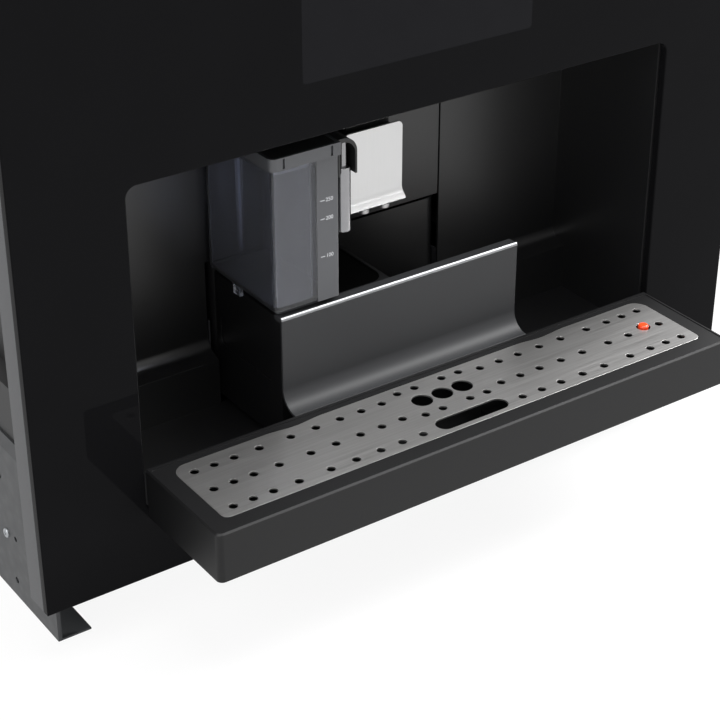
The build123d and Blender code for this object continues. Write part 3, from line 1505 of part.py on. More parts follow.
# ---------------------------------------------------------------- written pieces
pieces = {
    "fascia_glass": make_fascia_glass,
    "fascia_frame": make_fascia_frame,
    "fascia_seals": make_fascia_seals,
    "display_module": make_display_module,
    "niche_liner": make_niche_liner,
    "centre_back_panel": make_centre_back_panel,
    "side_plate_left": make_side_plate,
    "side_plate_right": lambda: mirror(make_side_plate(), about=Plane.YZ),
    "base_pan": make_base_pan,
    "body_cover": make_body_cover,
    "upper_housing": make_upper_housing,
    "core_cover": make_core_cover,
    "service_door": make_service_door,
    "door_hinge_pins": make_door_hinge_pins,
    "rear_cover": make_rear_cover,
    "power_inlet": make_power_inlet,
    "fascia_brackets": make_fascia_brackets,
    "plate_screws": make_plate_screws,
    "drawer_guide": make_drawer_guide,
    "slide_rails": make_slide_rails,
    "works_shelf": make_works_shelf,
    "brew_unit": make_brew_unit,
    "grinder": make_grinder,
    "bean_hopper": make_bean_hopper,
    "hopper_lid": make_hopper_lid,
    "boiler": make_boiler,
    "pump": make_pump,
    "control_board": make_control_board,
    "water_tank": make_water_tank,
    "tank_lid": make_tank_lid,
    "tank_valve": make_tank_valve,
    "drip_tray": make_drip_tray,
    "drip_grille": make_drip_grille,
    "float_guide": make_float_guide,
    "level_float": make_level_float,
    "float_button": make_float_button,
    "centre_panel": make_centre_panel,
    "panel_edge_trim": make_panel_edge_trim,
    "module_carrier": make_module_carrier,
    "milk_cradle": make_milk_cradle,
    "cradle_mat": make_cradle_mat,
    "grounds_box": make_grounds_box,
    "milk_container": make_milk_container,
    "milk_holder": make_milk_holder,
    "milk_lid": make_milk_lid,
    "milk_lid_cover": make_milk_lid_cover,
    "suction_tube": make_suction_tube,
    "milk_hood": make_milk_hood,
    "milk_nozzle": make_milk_nozzle,
    "milk_spout": make_milk_spout,
    "outlet_plate": make_outlet_plate,
    "nozzle_block": make_nozzle_block,
    "outlet_nozzles": make_outlet_nozzles,
    "outlet_rods": make_outlet_rods,
    "outlet_arm": make_outlet_arm,
    "outlet_guide": make_outlet_guide,
}

os.makedirs("parts", exist_ok=True)
for name, make in pieces.items():
    write(name, make())
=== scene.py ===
"""Looks of the built-in coffee machine: fine meshes, finishes, studio and camera.

Meshes are drawn in millimetres from the fascia: X to the right, Y back from the front plane of
the glass, Z up from its lower edge. One matrix moves them into the frame of the CAD model.
"""

from __future__ import annotations

import json
import logging
import math
from collections.abc import Sequence
from dataclasses import dataclass
from enum import Enum
from functools import partial

import bmesh
import bpy
from bpy.types import Material, Mesh, NodeSocket, NodeTree, Object, bpy_prop_collection
from mathutils import Matrix, Vector


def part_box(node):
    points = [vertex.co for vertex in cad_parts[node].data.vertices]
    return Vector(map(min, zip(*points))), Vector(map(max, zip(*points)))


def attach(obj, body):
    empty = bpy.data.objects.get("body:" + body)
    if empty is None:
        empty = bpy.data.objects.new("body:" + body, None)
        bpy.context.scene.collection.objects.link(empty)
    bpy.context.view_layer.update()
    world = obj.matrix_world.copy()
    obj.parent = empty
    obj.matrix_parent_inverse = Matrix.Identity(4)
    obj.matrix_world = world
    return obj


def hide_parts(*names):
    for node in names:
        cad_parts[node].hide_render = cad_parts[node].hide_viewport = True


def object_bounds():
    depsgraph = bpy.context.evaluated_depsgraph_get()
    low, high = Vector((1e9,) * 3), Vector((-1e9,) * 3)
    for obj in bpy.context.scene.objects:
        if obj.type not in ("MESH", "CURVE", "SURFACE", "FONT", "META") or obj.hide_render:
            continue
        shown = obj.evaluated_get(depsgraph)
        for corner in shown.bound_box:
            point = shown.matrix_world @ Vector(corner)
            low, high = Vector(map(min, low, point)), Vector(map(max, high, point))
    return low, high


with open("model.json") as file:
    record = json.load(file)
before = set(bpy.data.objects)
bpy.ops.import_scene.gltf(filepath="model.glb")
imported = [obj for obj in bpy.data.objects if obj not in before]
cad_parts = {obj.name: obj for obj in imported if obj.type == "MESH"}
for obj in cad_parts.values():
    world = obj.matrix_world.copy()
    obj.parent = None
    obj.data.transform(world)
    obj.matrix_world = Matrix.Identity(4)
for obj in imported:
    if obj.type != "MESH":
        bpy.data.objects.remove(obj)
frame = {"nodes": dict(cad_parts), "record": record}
cad_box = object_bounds()

Pair = tuple[float, float]
Triple = tuple[float, float, float]

log = logging.getLogger("coffee_machine")
MM = 0.001
GLASS_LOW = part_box("fascia_glass")[0]
TO_FRAME = Matrix.Translation((0.0, GLASS_LOW.y, GLASS_LOW.z)) @ Matrix.Scale(MM, 4)
# stands a form drawn on the floor up, so that it faces the viewer's side
UPRIGHT = Matrix.Rotation(math.radians(90), 4, "X")
SLOT_OF = {part["node"]: part["material_slot"] for part in frame["record"]["subparts"]}
BODY_OF = {
    node: body for body, nodes in frame["record"]["behaviour"]["bodies"].items() for node in nodes
}


# ---- node trees
def add_node(
    tree: NodeTree, kind: str, inputs: dict[str | int, object] | None = None, **settings: object
) -> bpy_prop_collection:
    """Adds a node with its settings, values and links.

    Args:
        tree: Node tree that gets the node.
        kind: Blender's name of the node's type.
        inputs: For each input, by name or number, a value, an output socket or a list of those.
        **settings: Properties of the node itself.

    Returns:
        The outputs of the new node.
    """
    node = tree.nodes.new(kind)
    for key, value in settings.items():
        setattr(node, key, value)
    for key, value in (inputs or {}).items():
        links = value if isinstance(value, list) else [value]
        if isinstance(links[0], NodeSocket):
            for socket in links:
                tree.links.new(socket, node.inputs[key])
        else:
            node.inputs[key].default_value = value
    return node.outputs


def linear(hex_color: str) -> tuple[float, float, float, float]:
    """Turns an sRGB colour into the linear values of a shader.

    Args:
        hex_color: Colour such as "1c1d1f".

    Returns:
        Linear red, green and blue, and an alpha of 1.
    """
    channels = [int(hex_color[n : n + 2], 16) / 255 for n in (0, 2, 4)]
    # the curve of the sRGB standard: a straight foot, then a power
    red, green, blue = (
        c / 12.92 if c <= 0.04045 else ((c + 0.055) / 1.055) ** 2.4 for c in channels
    )
    return red, green, blue, 1.0


# ---- finishes
BRUSH_STRETCH = 0.012  # scale of brushed grain along its strokes, against 1 across them
STRONG_DETAIL = 6.0  # octaves of the noise in cast and brushed surfaces
SOFT_DETAIL = 2.0  # octaves of the noise in all others


class Grain(Enum):
    """How the surface of a finish was made, which sets its relief."""

    PLAIN = "polished or as drawn"
    MOULDED = "spark-eroded mould"
    COATED = "baked coat"
    BRUSHED_X = "brushed along X"
    BRUSHED_Z = "brushed along Z"
    CAST = "sand cast"
    ZINC = "zinc spangle"


@dataclass(frozen=True)
class Finish:
    """A surface: its colours, its gloss and its relief.

    Args:
        name: Common name of the material and how its surface was made.
        color: Main sRGB colour.
        shade: Second sRGB colour, which the pattern mixes in.
        roughness: Lowest and highest roughness over the pattern.
        grain: How the surface was made.
        grain_size: Size of the pattern in millimetres.
        relief: Height of the pattern in millimetres.
        metallic: 1 for bare metal.
        ior: Index of refraction, left at 1.5 for metals.
        transmission: Clear share of the material.
    """

    name: str
    color: str
    shade: str
    roughness: Pair
    grain: Grain = Grain.PLAIN
    grain_size: float = 1.0
    relief: float = 0.0
    metallic: float = 0.0
    ior: float = 1.5
    transmission: float = 0.0

    def make(self) -> Material:
        """Builds the Blender material.

        Returns:
            The material, on Object coordinates.
        """
        material = bpy.data.materials.new(self.name)
        material.use_nodes = True
        tree = material.node_tree
        tree.nodes.clear()
        pattern = self.pattern(tree)
        # inputs 6 and 7 of the mix node are its two colours, and output 2 is the mixed one
        colors = {0: pattern, 6: linear(self.color), 7: linear(self.shade)}
        color = add_node(tree, "ShaderNodeMix", colors, data_type="RGBA")
        low, high = self.roughness
        gloss = {"Value": pattern, "To Min": low, "To Max": high}
        gloss = add_node(tree, "ShaderNodeMapRange", gloss)[0]
        inputs = {
            "Base Color": color[2],
            "Roughness": gloss,
            "Metallic": self.metallic,
            "IOR": self.ior,
            "Transmission Weight": self.transmission,
        }
        if self.relief:
            bump = {"Height": pattern, "Distance": self.relief * MM}
            inputs["Normal"] = add_node(tree, "ShaderNodeBump", bump)[0]
        shader = add_node(tree, "ShaderNodeBsdfPrincipled", inputs)
        add_node(tree, "ShaderNodeOutputMaterial", {"Surface": shader[0]})
        material.diffuse_color = linear(self.color)
        return material

    def pattern(self, tree: NodeTree) -> NodeSocket:
        """Adds the pattern of the surface.

        Args:
            tree: Node tree of the material.

        Returns:
            The socket that holds the pattern, from 0 to 1.
        """
        place = add_node(tree, "ShaderNodeTexCoord")["Object"]
        strokes = {Grain.BRUSHED_X: (BRUSH_STRETCH, 1, 1), Grain.BRUSHED_Z: (1, 1, BRUSH_STRETCH)}
        if self.grain in strokes:
            stretch = {"Vector": place, "Scale": strokes[self.grain]}
            place = add_node(tree, "ShaderNodeMapping", stretch)[0]
        scale = 1 / (self.grain_size * MM)
        if self.grain is Grain.ZINC:
            cells = {"Vector": place, "Scale": scale}
            cells = add_node(tree, "ShaderNodeTexVoronoi", cells, feature="SMOOTH_F1")
            return cells["Distance"]
        strong = self.grain is Grain.CAST or self.grain in strokes
        detail = STRONG_DETAIL if strong else SOFT_DETAIL
        noise = {"Vector": place, "Scale": scale, "Detail": detail}
        return add_node(tree, "ShaderNodeTexNoise", noise)["Fac"]


# each row: material, colour, shade, roughness, grain, and the grain's size and relief in mm
FINISHES = {
    # nearly black and even, with a weak, sharp mirror of the room
    "black_glass": Finish(
        "float glass, black", "0b0b0c", "0d0d0e", (0.02, 0.03), Grain.PLAIN, 60, ior=1.09
    ),
    # dark grey folded sheet, seen as a thin strip beside the pane
    "frame_grey": Finish(
        "coated steel, grey", "26272a", "2c2d30", (0.36, 0.46), Grain.COATED, 1.2, 0.01
    ),
    # the display window: a touch lighter than the pane round it
    "display_black": Finish(
        "acrylic, black", "0e0e10", "111113", (0.05, 0.08), Grain.PLAIN, 20, ior=1.14
    ),
    # deep black that catches a broad, soft sheen high on the walls
    "liner_black": Finish(
        "ABS, moulded black", "0c0c0d", "111112", (0.3, 0.4), Grain.MOULDED, 0.5, 0.006, ior=1.6
    ),
    # dark graphite front with an even satin gloss
    "panel_black": Finish(
        "coated steel, dark", "242426", "292a2b", (0.44, 0.52), Grain.COATED, 0.8, 0.004, ior=1.32
    ),
    # bright narrow line along the top of the front panel
    "bright_edge": Finish(
        "aluminium, satin", "87888a", "939496", (0.4, 0.5), Grain.BRUSHED_X, 0.4, metallic=1.0
    ),
    # soft black with a fine grain, lighter where it faces the lamp
    "tray_black": Finish(
        "PC-ABS, moulded black", "070708", "0a0a0b", (0.4, 0.5), Grain.MOULDED, 0.5, 0.008, ior=1.36
    ),
    # fine scratches along the machine that streak the light
    "brushed_steel": Finish(
        "stainless steel, brushed", "a7a6a5", "cac9c8", (0.32, 0.44), Grain.BRUSHED_X, 0.8, 0.012,
        metallic=1.0,
    ),
    # pale, smooth metal with an even glow
    "satin_steel": Finish(
        "stainless steel, satin", "cacaca", "d2d2d2", (0.4, 0.48), Grain.BRUSHED_Z, 0.3, 0.0005,
        metallic=1.0,
    ),
    # rounder, tighter highlights than the outlet plate
    "spout_chrome": Finish(
        "steel, satin chromed", "8c8c8e", "949496", (0.2, 0.28), Grain.PLAIN, 4, metallic=1.0
    ),
    # a warm, saturated dot in the grey of the grille
    "float_red": Finish("ABS, gloss red", "cf3a17", "d8421c", (0.24, 0.34), Grain.PLAIN, 3),
    # clear with a faint blue, milky enough to catch the light
    "clear_plastic": Finish(
        "copolyester, clear", "e4e8f6", "eaeefa", (0.04, 0.08), Grain.PLAIN, 30,
        ior=1.45, transmission=0.98,
    ),
    # mid grey with a soft gloss beside the clear wall
    "holder_grey": Finish(
        "ABS, semi-gloss grey", "3c3d40", "424346", (0.26, 0.34), Grain.MOULDED, 0.7, 0.003
    ),
    # satin black, darker than what it covers
    "lid_black": Finish(
        "ABS, satin black", "0d0e0f", "121314", (0.36, 0.46), Grain.MOULDED, 0.5, 0.005
    ),
    # flat, almost lightless mat
    "mat_black": Finish("silicone, black", "010101", "020202", (0.3, 0.4), Grain.PLAIN, 6, ior=1.1),
    # dry black coat with an orange-peel texture
    "body_black": Finish(
        "steel, powder-coated black", "0e0e0f", "131314", (0.5, 0.62), Grain.COATED, 0.7, 0.012
    ),
    # dull grey plate with faint crystals in the zinc
    "plate_grey": Finish(
        "steel, passivated zinc coat", "303133", "38393b", (0.42, 0.56), Grain.ZINC, 7, metallic=0.3
    ),
    # brighter, spangled sheet of the floor and brackets
    "zinc": Finish(
        "steel, galvanised", "9a9da0", "b4b7ba", (0.34, 0.52), Grain.ZINC, 5, metallic=1.0
    ),
    # dull dark plastic of what is hidden
    "works_plastic": Finish(
        "PA66, moulded dark grey", "2a2a2d", "323235", (0.5, 0.62), Grain.MOULDED, 0.6, 0.01
    ),
    # grainy pale metal
    "cast_alloy": Finish(
        "aluminium, cast", "a0a1a3", "b6b7b9", (0.42, 0.6), Grain.CAST, 1.5, 0.03, metallic=1.0
    ),
    # green lacquer with a slight gloss
    "board_green": Finish(
        "glass epoxy, green lacquer", "1d5a35", "24693f", (0.24, 0.36), Grain.PLAIN, 3, 0.01
    ),
    # matt rubber that gives back next to no light
    "seal_rubber": Finish(
        "EPDM, matt black", "141415", "1a1a1b", (0.7, 0.82), Grain.MOULDED, 0.8, 0.02
    ),
    # smoky clear wall that shows what it holds as a shade
    "bean_clear": Finish(
        "polycarbonate, smoked", "8a8b90", "8f9095", (0.04, 0.08), Grain.PLAIN, 30,
        ior=1.58, transmission=1.0,
    ),
}
# thin pale ink of the level marks
MARK_INK = Finish("screen print, pale grey", "a8a9ac", "b0b1b4", (0.5, 0.6), Grain.PLAIN, 2)
finish_of = {slot: finish.make() for slot, finish in FINISHES.items()}


# ---- meshes
SLIVER = 0.004  # longest edge in mm, left over by a bevel, that is dissolved
SAME_POINT = 0.002  # distance in mm at which two points of a CAD mesh are one
SQUARE_ON = 0.99999  # least share along an axis in the normal of a face that is square to it
SMOOTH_ANGLE = 35.0  # angle in degrees over which an edge stays sharp
NORMAL_WEIGHT = 100  # full weight of large faces in the normals


@dataclass(frozen=True)
class EdgeRound:
    """Rounding of sharp edges.

    Args:
        width: Width of the rounding in millimetres.
        segments: Rows of faces over it.
        angle: Least angle in degrees of an edge that is rounded.
    """

    width: float = 0.4
    segments: int = 2
    angle: float = 40.0


def plain_copy(obj: Object) -> None:
    """Replaces the object's mesh by its evaluated one and removes the modifiers.

    Args:
        obj: Object whose modifiers are done with.
    """
    graph = bpy.context.evaluated_depsgraph_get()
    mesh = bpy.data.meshes.new_from_object(obj.evaluated_get(graph))
    obj.modifiers.clear()
    obj.data = mesh


def rounded(obj: Object, rounding: EdgeRound | None) -> None:
    """Rounds the object's sharp edges and shades the faces square to an axis flat.

    Args:
        obj: Object with a mesh in metres.
        rounding: Size of the rounding, or None to leave the edges sharp.
    """
    if rounding:
        bevel = obj.modifiers.new("edges", "BEVEL")
        bevel.width = rounding.width * MM
        bevel.segments = rounding.segments
        bevel.limit_method = "ANGLE"
        bevel.angle_limit = math.radians(rounding.angle)
        bevel.miter_outer = "MITER_ARC"
        plain_copy(obj)
        bm = bmesh.new()
        bm.from_mesh(obj.data)
        bmesh.ops.dissolve_degenerate(bm, edges=bm.edges, dist=SLIVER * MM)
        bm.to_mesh(obj.data)
        bm.free()
    smooth = [max(map(abs, face.normal)) < SQUARE_ON for face in obj.data.polygons]
    obj.data.polygons.foreach_set("use_smooth", smooth)
    obj.data.set_sharp_from_angle(angle=math.radians(SMOOTH_ANGLE))
    weigh = obj.modifiers.new("normals", "WEIGHTED_NORMAL")
    weigh.keep_sharp = True
    weigh.weight = NORMAL_WEIGHT
    plain_copy(obj)


def new_object(name: str, data: bpy.types.ID) -> Object:
    """Links a new object to the scene.

    Args:
        name: Name of the object.
        data: Its mesh, in metres and in place, or its text, lamp or camera.

    Returns:
        The object, at the origin.
    """
    obj = bpy.data.objects.new(name, data)
    bpy.context.scene.collection.objects.link(obj)
    return obj


def mesh_of(
    name: str, points: Sequence[Sequence[float]], faces: Sequence[tuple[int, ...]] = ()
) -> Mesh:
    """A mesh from points in the millimetres of the fascia.

    Args:
        name: Name of the mesh.
        points: Its points.
        faces: Its faces, as numbers of points.

    Returns:
        The mesh, in the metres of the CAD frame.
    """
    mesh = bpy.data.meshes.new(name)
    mesh.from_pydata([TO_FRAME @ Vector(point) for point in points], [], list(faces))
    return mesh


def bridge(low: Sequence, high: Sequence) -> list[tuple]:
    """Faces between two rings of points.

    Args:
        low: Points of one ring, or their numbers.
        high: As many of the next ring.

    Returns:
        The four corners of each face.
    """
    after = [*range(1, len(low)), 0]
    return [(low[n], low[m], high[m], high[n]) for n, m in enumerate(after)]


def arc(middle: Pair, radius: float, start: float, end: float, count: int) -> list[Pair]:
    """Points on an arc.

    Args:
        middle: Centre of the arc.
        radius: Its radius.
        start: First angle in degrees.
        end: Last angle in degrees.
        count: Number of steps.

    Returns:
        The points from the first to the last angle.
    """
    turns = [math.radians(start + (end - start) * n / count) for n in range(count + 1)]
    return [(middle[0] + radius * math.cos(t), middle[1] + radius * math.sin(t)) for t in turns]


def revolved(name: str, profile: list[Pair], axis: Pair, segments: int) -> Mesh:
    """A closed form turned round an upright axis.

    Args:
        name: Name of the mesh.
        profile: Radius and height of each point, from the lower end of the axis to the upper one.
        axis: X and Y of the axis.
        segments: Number of faces round it.

    Returns:
        The mesh.
    """
    points = [(*axis, profile[0][1])]
    for radius, height in profile[1:-1]:
        points += [(*place, height) for place in arc(axis, radius, 0, 360, segments)[:-1]]
    points.append((*axis, profile[-1][1]))
    last = len(points) - 1
    rings = [range(n, n + segments) for n in range(1, last, segments)]
    faces = [(0, b, a) for a, b, _, _ in bridge(rings[0], rings[0])]
    for low, high in zip(rings, rings[1:]):
        faces += bridge(low, high)
    faces += [(a, b, last) for a, b, _, _ in bridge(rings[-1], rings[-1])]
    return mesh_of(name, points, faces)


# ---- geometry nodes
WELD = 1e-6  # distance in metres at which a node group joins two points


class Group:
    """A geometry node group with named inputs that is run once on an object.

    Args:
        name: Name of the group.
        **inputs: Value of each named input, whose type is the kind of its socket.
    """

    def __init__(self, name: str, **inputs: float | int | Material | Object) -> None:
        self.tree = bpy.data.node_groups.new(name, "GeometryNodeTree")
        self.tree.is_modifier = True
        self.values: dict[str, object] = {}
        new_socket = self.tree.interface.new_socket
        new_socket("Geometry", in_out="INPUT", socket_type="NodeSocketGeometry")
        for label, value in inputs.items():
            kind = "NodeSocket" + type(value).__name__.capitalize()
            socket = new_socket(label, in_out="INPUT", socket_type=kind)
            self.values[socket.identifier] = value
        new_socket("Geometry", in_out="OUTPUT", socket_type="NodeSocketGeometry")
        self.add = partial(add_node, self.tree)
        self.enter = self.add("NodeGroupInput")

    def instances(self, points: NodeSocket, form: NodeSocket, **more: NodeSocket) -> NodeSocket:
        """Puts a form on each point.

        Args:
            points: Points that get it.
            form: Geometry of the form.
            **more: Scale or Rotation of the form on each point.

        Returns:
            The socket of the instances.
        """
        inputs = {"Points": points, "Instance": form, **more}
        return self.add("GeometryNodeInstanceOnPoints", inputs)[0]

    def slab(self, face: NodeSocket, thickness: NodeSocket) -> NodeSocket:
        """Raises a flat face to a closed slab.

        Args:
            face: Geometry of the face.
            thickness: Thickness of the slab.

        Returns:
            The socket of the slab.
        """
        raised = {"Mesh": face, "Offset Scale": thickness, "Individual": False}
        raised = self.add("GeometryNodeExtrudeMesh", raised, mode="FACES")[0]
        back = self.add("GeometryNodeFlipFaces", {"Mesh": face})[0]
        whole = self.add("GeometryNodeJoinGeometry", {"Geometry": [raised, back]})[0]
        return self.add("GeometryNodeMergeByDistance", {"Geometry": whole, "Distance": WELD})[0]

    def run(self, name: str, mesh: Mesh, result: NodeSocket) -> Object:
        """Ends the group and makes an object with the plain mesh that it gives.

        Args:
            name: Name of the object.
            mesh: Input geometry.
            result: Socket of the finished geometry.

        Returns:
            The object, without modifiers.
        """
        obj = new_object(name, mesh)
        solid = self.add("GeometryNodeRealizeInstances", {"Geometry": result})[0]
        inputs = {"Geometry": solid, "Material": self.enter["Material"]}
        dressed = self.add("GeometryNodeSetMaterial", inputs)[0]
        self.add("NodeGroupOutput", {"Geometry": dressed})
        modifier = obj.modifiers.new(self.tree.name, "NODES")
        modifier.node_group = self.tree
        for identifier, value in self.values.items():
            modifier[identifier] = value
        plain_copy(obj)
        return obj


# ---- sub-assemblies
@dataclass
class SubAssembly:
    """Work that every sub-assembly shares: it hands pieces and nodes to the frame."""

    def deliver(self, obj: Object, *nodes: str, like: str = "", slot: str = "") -> None:
        """Dresses a finished piece and ties it to its body and nodes.

        Args:
            obj: Finished object, with its place in its mesh.
            *nodes: CAD nodes that the piece stands for.
            like: Node whose body the piece rides on, if it stands for none.
            slot: Material slot, if it isn't the one of the first node.
        """
        first = nodes[0] if nodes else like
        slot = slot or SLOT_OF[first]
        if not obj.data.materials:
            obj.data.materials.append(finish_of[slot])
        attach(obj, BODY_OF[first])
        if nodes:
            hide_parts(*nodes)
        log.info("%s: %d faces", obj.name, len(obj.data.polygons))

    def refine(self, rounding: EdgeRound | None, *nodes: str) -> list[Object]:
        """Rebuilds CAD nodes as clean meshes with rounded edges.

        Args:
            rounding: Size of the rounding, or None to leave the edges sharp.
            *nodes: Names of the nodes.

        Returns:
            The pieces that stand for the nodes, in the same order.
        """
        pieces = []
        for node in nodes:
            bm = bmesh.new()
            bm.from_mesh(frame["nodes"][node].data)
            bmesh.ops.remove_doubles(bm, verts=bm.verts, dist=SAME_POINT * MM)
            mesh = bpy.data.meshes.new(node)
            bm.to_mesh(mesh)
            bm.free()
            obj = new_object("fine_" + node, mesh)
            rounded(obj, rounding)
            self.deliver(obj, node)
            pieces.append(obj)
        return pieces

    def dress(self, *nodes: str) -> None:
        """Gives CAD nodes that stay their finish.

        Args:
            *nodes: Names of the nodes.
        """
        for node in nodes:
            mesh = frame["nodes"][node].data
            mesh.materials.clear()
            mesh.materials.append(finish_of[SLOT_OF[node]])


@dataclass
class Fascia(SubAssembly):
    """Glass pane on its sheet metal frame, with the display behind it.

    Args:
        pane_edge: Ground edge of the pane.
        fold: Folded edges of the frame.
        strip_edge: Soft edges of the sealing strips.
        window_x: Left and right side of the display window.
        window_z: Lower and upper side of the window.
        window_corner: Radius of its corners.
        corner_steps: Edges round a corner.
        film: Thickness of the film that covers the window.
    """

    pane_edge: EdgeRound = EdgeRound(0.25, 2)
    fold: EdgeRound = EdgeRound(0.5, 2)
    strip_edge: EdgeRound = EdgeRound(0.4, 3)
    window_x: Pair = (-92.0, 92.0)
    window_z: Pair = (324.0, 404.0)
    window_corner: float = 3.0
    corner_steps: int = 8
    film: float = 0.04

    def build(self) -> None:
        """Builds the fascia."""
        self.refine(self.pane_edge, "fascia_glass")
        self.refine(self.fold, "fascia_frame")
        self.refine(self.strip_edge, "fascia_seals")
        self.dress("display_module")
        self.add_window()

    def add_window(self) -> None:
        """Adds the film of the display window on the face of the pane."""
        (left, right), (low, high) = self.window_x, self.window_z
        group = Group(
            "display window",
            Width=(right - left) * MM,
            Height=(high - low) * MM,
            Corner=self.window_corner * MM,
            Film=self.film * MM,
            Material=finish_of["display_black"],
        )
        size = {"Width": group.enter["Width"], "Height": group.enter["Height"]}
        outline = group.add("GeometryNodeCurvePrimitiveQuadrilateral", size)[0]
        fillet = {"Curve": outline, "Radius": group.enter["Corner"], "Count": self.corner_steps}
        outline = group.add("GeometryNodeFilletCurve", fillet, mode="POLY")[0]
        face = group.add("GeometryNodeFillCurve", {"Curve": outline}, mode="NGONS")[0]
        slab = group.slab(face, group.enter["Film"])
        obj = group.run("display_window", mesh_of("window", [(0, 0, 0)]), slab)
        middle = TO_FRAME @ Vector(((left + right) / 2, 0, (low + high) / 2))
        obj.data.transform(Matrix.Translation(middle) @ UPRIGHT)
        self.deliver(obj, like="fascia_glass", slot="display_black")


@dataclass
class Niche(SubAssembly):
    """Moulded liner and the panel in its back.

    Args:
        mould_edge: Edges of the moulded liner.
        panel_edge: Edges of the panel.
    """

    mould_edge: EdgeRound = EdgeRound(0.8, 3)
    panel_edge: EdgeRound = EdgeRound()

    def build(self) -> None:
        """Builds the niche."""
        self.refine(self.mould_edge, "niche_liner")
        self.refine(self.panel_edge, "centre_back_panel")


@dataclass(frozen=True)
class ScrewHead:
    """Domed head of a cross-head screw.

    Args:
        radius: Radius of the head.
        height: Its height.
        rings: Shares of radius and height at each ring of points, from the foot up.
        cross_length: Length of the recess for the driver.
        cross_width: Its width.
        cross_floor: Shares of the recess's outline and the head's height at its floor.
        segments: Faces round the head.
    """

    radius: float = 3.5
    height: float = 1.6
    rings: tuple[Pair, ...] = ((1.0, 0.0), (1.0, 0.45), (0.94, 0.72), (0.8, 0.9), (0.55, 1.0))
    cross_length: float = 3.6
    cross_width: float = 0.8
    cross_floor: Pair = (0.75, 0.5)
    segments: int = 32

    def make(self) -> Object:
        """Models the head, with its crown along +Z.

        Returns:
            A helper object that isn't linked to the scene.
        """
        bm = bmesh.new()
        radius, height = self.radius * MM, self.height * MM
        loops = []
        for share, rise in self.rings:
            ring = arc((0, 0), share * radius, 0, 360, self.segments)[:-1]
            loops.append([bm.verts.new((*place, rise * height)) for place in ring])
        for low, high in zip(loops, loops[1:]):
            for face in bridge(low, high):
                bm.faces.new(face)
        bm.faces.new(list(reversed(loops[0])))
        arm, half = self.cross_length / 2 * MM, self.cross_width / 2 * MM
        quarter, cross = [(arm, -half), (arm, half), (half, half)], []
        for _ in range(4):
            cross += quarter
            quarter = [(-y, x) for x, y in quarter]
        share, depth = self.cross_floor
        rim = [bm.verts.new((x, y, height)) for x, y in cross]
        floor = [bm.verts.new((x * share, y * share, height * depth)) for x, y in cross]
        edges = [bm.edges.new(pair) for pair in zip(rim, rim[1:] + rim[:1])]
        edges += [e for e in bm.edges if all(v in loops[-1] for v in e.verts)]
        bmesh.ops.triangle_fill(bm, use_beauty=True, edges=edges)
        for face in [*bridge(rim, floor), floor]:
            bm.faces.new(face)
        bmesh.ops.recalc_face_normals(bm, faces=bm.faces)
        mesh = bpy.data.meshes.new("screw head")
        bm.to_mesh(mesh)
        bm.free()
        return bpy.data.objects.new("screw head", mesh)


@dataclass
class Chassis(SubAssembly):
    """Side plates, pan, covers and the door on the left.

    Args:
        sheets: Nodes of folded sheet.
        cut_sheets: Large plates whose cut edges stay sharp, because a bevel along edges that lie
            in one plane draws thin dark lines there.
        fold: Folded edges of the sheets.
        screw: Head of the screws in the side plates.
        screw_places: Y and Z of the screws on each side.
        plate_x: Outer face of the side plates.
    """

    sheets: tuple[str, ...] = (
        "base_pan", "body_cover", "upper_housing", "core_cover", "service_door", "power_inlet",
        "fascia_brackets",
    )
    cut_sheets: tuple[str, ...] = ("side_plate_left", "side_plate_right", "rear_cover")
    fold: EdgeRound = EdgeRound(0.3, 2)
    screw: ScrewHead = ScrewHead()
    screw_places: tuple[Pair, ...] = ((97.0, 4.4), (397.0, 4.4))
    plate_x: float = 280.0

    def build(self) -> None:
        """Builds the chassis."""
        self.refine(self.fold, *self.sheets)
        self.refine(None, *self.cut_sheets)
        self.dress("door_hinge_pins")
        self.add_screws()

    def add_screws(self) -> None:
        """Sets the screw heads on both side plates, each with its crown outwards."""
        points = [(side * self.plate_x, y, z) for side in (-1, 1) for y, z in self.screw_places]
        material = finish_of[SLOT_OF["plate_screws"]]
        group = Group("plate screws", Head=self.screw.make(), Material=material)
        head = group.add("GeometryNodeObjectInfo", {"Object": group.enter["Head"]})
        place = group.add("GeometryNodeInputPosition")[0]
        side = group.add("ShaderNodeVectorMath", {0: place, 1: (1, 0, 0)}, operation="MULTIPLY")[0]
        turn = group.add("FunctionNodeAlignRotationToVector", {"Vector": side}, axis="Z")[0]
        heads = group.instances(group.enter["Geometry"], head["Geometry"], Rotation=turn)
        obj = group.run("screw_heads", mesh_of("screws", points), heads)
        rounded(obj, None)
        self.deliver(obj, "plate_screws")


@dataclass
class Works(SubAssembly):
    """What works behind the fascia, from grinder to pump, with water tank and bean hopper.

    Args:
        cast_edge: Soft edges of cast and moulded pieces.
        sheet_edge: Edges of folded sheet and thin walls.
        lid_edge: Edges of the tank and the lids.
    """

    cast_edge: EdgeRound = EdgeRound(0.8, 2)
    sheet_edge: EdgeRound = EdgeRound(0.3, 1)
    lid_edge: EdgeRound = EdgeRound(0.5, 2)

    def build(self) -> None:
        """Builds the works."""
        self.refine(self.cast_edge, "brew_unit", "grinder", "boiler", "pump", "outlet_guide")
        self.refine(self.sheet_edge, "drawer_guide", "slide_rails", "works_shelf", "bean_hopper")
        self.refine(self.lid_edge, "water_tank", "tank_lid", "hopper_lid")
        self.dress("control_board", "tank_valve")


